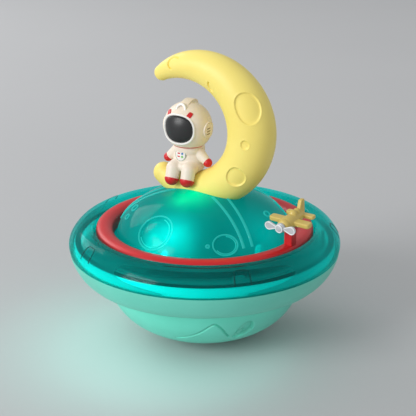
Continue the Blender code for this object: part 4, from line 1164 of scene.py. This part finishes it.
def seated_figure():
    brows = [painted_patch(f"mark_{k}", 1.2, 1.35, (side * 6.4 - 0.8, 7.3), -side * 0.45, 0.25)
             for k, side in enumerate((-1, 1))]
    dashes = [chest_patch("dash", 0.9, 0.34, -0.9, dz, 0.5, 3.0) for dz in (-0.8, 0.8)]
    pack = block((11, 4.4, 11), 1.5, shift(*at_figure(0, 8.0, 101.8)), 5)
    for name, mesh, mat, slot, *nodes in [
            ("suit", suit(), "cream", "cream", "figure_body"),
            ("boots", joined("boots", [boot(-1), boot(1)]), "red", "red"),
            ("gloves", joined("gloves", [glove(-1), glove(1)]), "red", "red"),
            ("helmet_shell", helmet_mesh(), "cream", "cream", "figure_helmet"),
            ("visor_glass", visor_mesh(), "black", "black", "figure_visor"),
            ("visor_frame", visor_frame(), "white_rim", "cream"),
            ("helmet_hood", hood(), "white_rim", "cream"),
            ("brow_marks", joined("brow_marks", brows), "red", "red"),
            ("neck_line", neck_line(), "red", "red"),
            ("chest_disc", chest_patch("chest_disc", 3.1, 3.2, 0, 0, 0.35), "white_rim", "cream"),
            ("chest_dashes", joined("chest_dashes", dashes), "red", "red"),
            ("chest_dot_blue", chest_patch("dot", 0.65, 0.65, 1.3, 0.85, 0.5), "blue_dot", "cream"),
            ("chest_dot_green", chest_patch("dot", 0.65, 0.65, 1.3, -0.85, 0.5), "green_dot", "cream"),
            ("ear_marks", ear_marks(), "tan", "cream"),
            ("chest_ring", chest_ring(), "sage", "cream"),
            ("backpack", pack, "cream", "cream", "figure_backpack")]:
        piece(name, mesh, mat, "top", slot, *nodes)


# ---------------------------------------------------------------- orbit ring and plane

def orbit_ring():
    z = RING_TOP_Z
    crown = smooth([(50.7, z - 3.3), (51.2, z - 1.7), (53.6, z - 0.3), (56.8, z), (59.2, z - 1.0),
                    (60.0, z - 2.8)], 8)
    low = [(60.0, RING_LOW_Z + 0.5), (59.5, RING_LOW_Z), (51.2, RING_LOW_Z), (50.7, RING_LOW_Z + 0.5)]
    ring = lathe("ring_track", crown + low)
    top = PLANE_Z - 4.5
    centre = polar(PLANE_R - 1.0, PLANE_ANGLE, (top + 62) / 2)
    post = block((4.8, 4.8, top - 62), 0.5, placed(centre, (0, 0, 1), polar(1, PLANE_ANGLE)))
    return boolean(ring, "UNION", post)


def plane_frame():
    """Local Z is the heading, local Y is up and local X points away from the spin axis."""
    level = polar(1, PLANE_ANGLE - math.pi / 2)
    heading = level * math.cos(PLANE_DIVE) + Vector((0, 0, -math.sin(PLANE_DIVE)))
    return placed(polar(PLANE_R, PLANE_ANGLE, PLANE_Z), heading, polar(1, PLANE_ANGLE))


def plane_body():
    nose = NOSE_REACH
    hull = [(0, nose), (2.2, nose), (2.9, nose - 0.35), (3.35, nose - 1.2), (3.5, nose - 2.4),
            (3.15, nose - 2.9), (3.5, nose - 3.5), (3.75, 4.0), (3.65, 0.5), (3.3, -3.0),
            (2.7, -6.4), (2.1, -9.0), (1.2, -10.0), (0, -10.2)]
    flat = Matrix.Rotation(math.pi / 2, 4, "X")
    upright = Matrix(((0, 0, 1), (1, 0, 0), (0, 1, 0))).to_4x4()
    wing = plate(fillet([(-12.0, -0.5), (12.0, -0.5), (12.0, 4.3), (-12.0, 4.3)], 1.7, 8), 2.5, 0.5,
                 flat)
    tail = plate(fillet([(-8.3, -9.9), (8.3, -9.9), (8.3, -6.2), (-8.3, -6.2)], 1.3, 6), 1.9, 0.4,
                 flat)
    fin = plate(fillet([(0, -5.0), (3.0, -5.4), (8.4, -7.4), (8.4, -10.4), (0, -10.4)], 0.7, 5),
                2.2, 0.4, upright)
    shapes = [lathe("hull", hull, 64, closed=False), wing, tail, fin,
              ball((2.4, 2.7, 2.2), (0, 2.8, -0.6)), ball((2.1, 2.4, 1.7), (0, 2.6, -4.0))]
    return transformed(moulded("plane_shell", shapes, 0.2, 2), plane_frame())


def blade_outline(side):
    """Teardrop blade, round outside and pointed at the hub."""
    tip = arc((PROPELLER_REACH, 0), (2.2, 2.1), -115, 115, 24)
    return [(side * x, y) for x, y in tip + [(2.2, 0.5), (2.2, -0.5)]][::side]


def propeller_mesh():
    """Flat hub disc with two flat blades, and the raised lines round their faces, whose whiter colour
    is a painted highlight.
    """
    hub = [(0, 0.9), (2.2, 0.9), (2.5, 0.6), (2.5, -0.6), (2.2, -0.9), (0, -0.9)]
    shapes = [lathe("hub", hub, 64, closed=False)]
    lines = []
    for side in (-1, 1):
        shapes.append(plate(blade_outline(side), 1.5, 0.3, shift(0, 0, 0.1)))
        path = np.array([(x, y, 0.85) for x, y in fillet(blade_outline(side), 0.2, 2)])
        path[:, :2] += (np.array([side * (PROPELLER_REACH - 0.6), 0]) - path[:, :2]) * 0.07
        lines.append(bead("line", path, np.tile([0.0, 0, 1], (len(path), 1)), 0.28, 0.18))
    hinge = plane_frame() @ shift(0, 0, NOSE_REACH + 1.1)
    return transformed(moulded("propeller_shell", shapes, 0.14, 1), hinge), \
        transformed(joined("propeller_lines", lines, sharp=60), hinge)


def orbit():
    piece("ring_track", orbit_ring(), "red", "orbit", "red", "orbit_ring")
    # the plane takes the darker copy of the yellow, a painted shade
    piece("plane_shell", plane_body(), "shaded_plane_yellow", "orbit", "yellow", "plane_body")
    pin = [(0, 2.9), (1.9, 2.9), (2.15, 2.7), (2.15, 2.25), (0.7, 2.25), (0.7, -3), (0, -3)]
    at_nose = plane_frame() @ shift(0, 0, NOSE_REACH)
    mesh = transformed(lathe("pin_shell", pin, 48, closed=False), at_nose)
    piece("pin_shell", mesh, "silver", "orbit", "steel", "propeller_pin")
    circle = np.stack([1.95 * np.cos(turn(64)), 1.95 * np.sin(turn(64)), np.full(64, 2.9)], -1)
    # the ring on the pin's cap is a painted highlight in whiter silver
    mesh = transformed(bead("pin_line", circle, np.tile([0.0, 0, 1], (64, 1)), 0.26, 0.18), at_nose)
    piece("pin_line", mesh, "bright", "orbit", "steel")
    shell, lines = propeller_mesh()
    piece("propeller_shell", shell, "silver", "propeller", "silver", "propeller")
    # the lines round the blades' faces are a painted highlight in whiter silver
    piece("propeller_lines", lines, "bright", "propeller", "silver")


# ---------------------------------------------------------------- CAD nodes that stay

def finish_cad_nodes():
    """Every CAD node gets the procedural material of its slot."""
    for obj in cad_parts.values():
        for holder in obj.material_slots:
            holder.material = MATS[holder.material.name]


# ---------------------------------------------------------------- light, floor and camera

def area_light(name, position, target, size, energy, rgb=(255, 255, 255)):
    data = bpy.data.lights.new(name, "AREA")
    data.size = size
    data.energy = energy
    data.color = linear(rgb)[:3]
    obj = add_object(name, data)
    obj.location = position
    obj.rotation_euler = (Vector(target) - Vector(position)).to_track_quat("-Z", "Y").to_euler()
    return obj


def lamp(name, position, radius, energy, rgb, body="top"):
    """A small coloured lamp inside the toy, which moves with it."""
    data = bpy.data.lights.new(name, "POINT")
    data.energy = energy
    data.color = linear(rgb)[:3]
    data.shadow_soft_size = radius * MM
    obj = add_object(name, data)
    obj.location = Vector(position) * MM
    obj.visible_camera = obj.visible_glossy = False
    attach(obj, body)
    return obj


SPILL_RGB = (165, 255, 238)
FLOOR_SIDE = 4000


def studio():
    world = bpy.data.worlds.new("studio")
    world.use_nodes = True
    background = world.node_tree.nodes["Background"].inputs
    background["Color"].default_value = linear((228, 229, 231))
    background["Strength"].default_value = 0.67
    bpy.context.scene.world = world
    area_light("key", (-1.71, -3.23, 1.63), (0, 0, 0.05), 1.9, 96)
    area_light("back_left", (-1.5, 0.5, 0.9), (0, 0, 0.06), 0.8, 7)
    # the lamps' light that falls on the floor, through the bowl's skin
    spill = area_light("spill", (-0.02, -0.03, 0.0365), (-0.02, -0.03, 0), 0.165, 0.031, SPILL_RGB)
    near = area_light("near_spill", (-0.005, -0.03, 0.017), (-0.005, -0.03, 0), 0.13, 0.011, SPILL_RGB)
    for light in (spill, near):
        light.data.shape = "DISK"
        light.visible_camera = light.visible_glossy = False

    for angle, power in zip(LED_ANGLES, LED_POWERS):
        lamp("led_light", polar(LED_CIRCLE_R + 4, angle, 63), 2.5, 0.03 * power, (20, 255, 245))
    lamp("drum_light", (-4, -18, 79.0), 3.0, 0.006, (20, 255, 140))

    corners = [(x * FLOOR_SIDE, y * FLOOR_SIDE, 0) for x, y in ((-1, -1), (1, -1), (1, 1), (-1, 1))]
    floor = finish_mesh("floor", corners, [(0, 1, 2, 3)])
    obj = add_object("floor", floor)
    floor.materials.append(plastic("floor_paper", (196, 197, 198), (194, 195, 196), 0.7, grain=300,
                                   bump=0.02, cloud=3))


def camera():
    data = bpy.data.cameras.new("camera")
    data.lens, data.sensor_width = 86.54, 36
    obj = add_object("camera", data)
    obj.location = (0.24506, -0.45694, 0.2596)
    obj.rotation_euler = (math.radians(70.2), 0, math.radians(28))
    bpy.context.scene.camera = obj


bpy.context.scene.view_settings.view_transform = "Standard"
finish_cad_nodes()
lower_casing()
clear_casing()
lamp_drum()
moon()
seated_figure()
orbit()
studio()
camera()
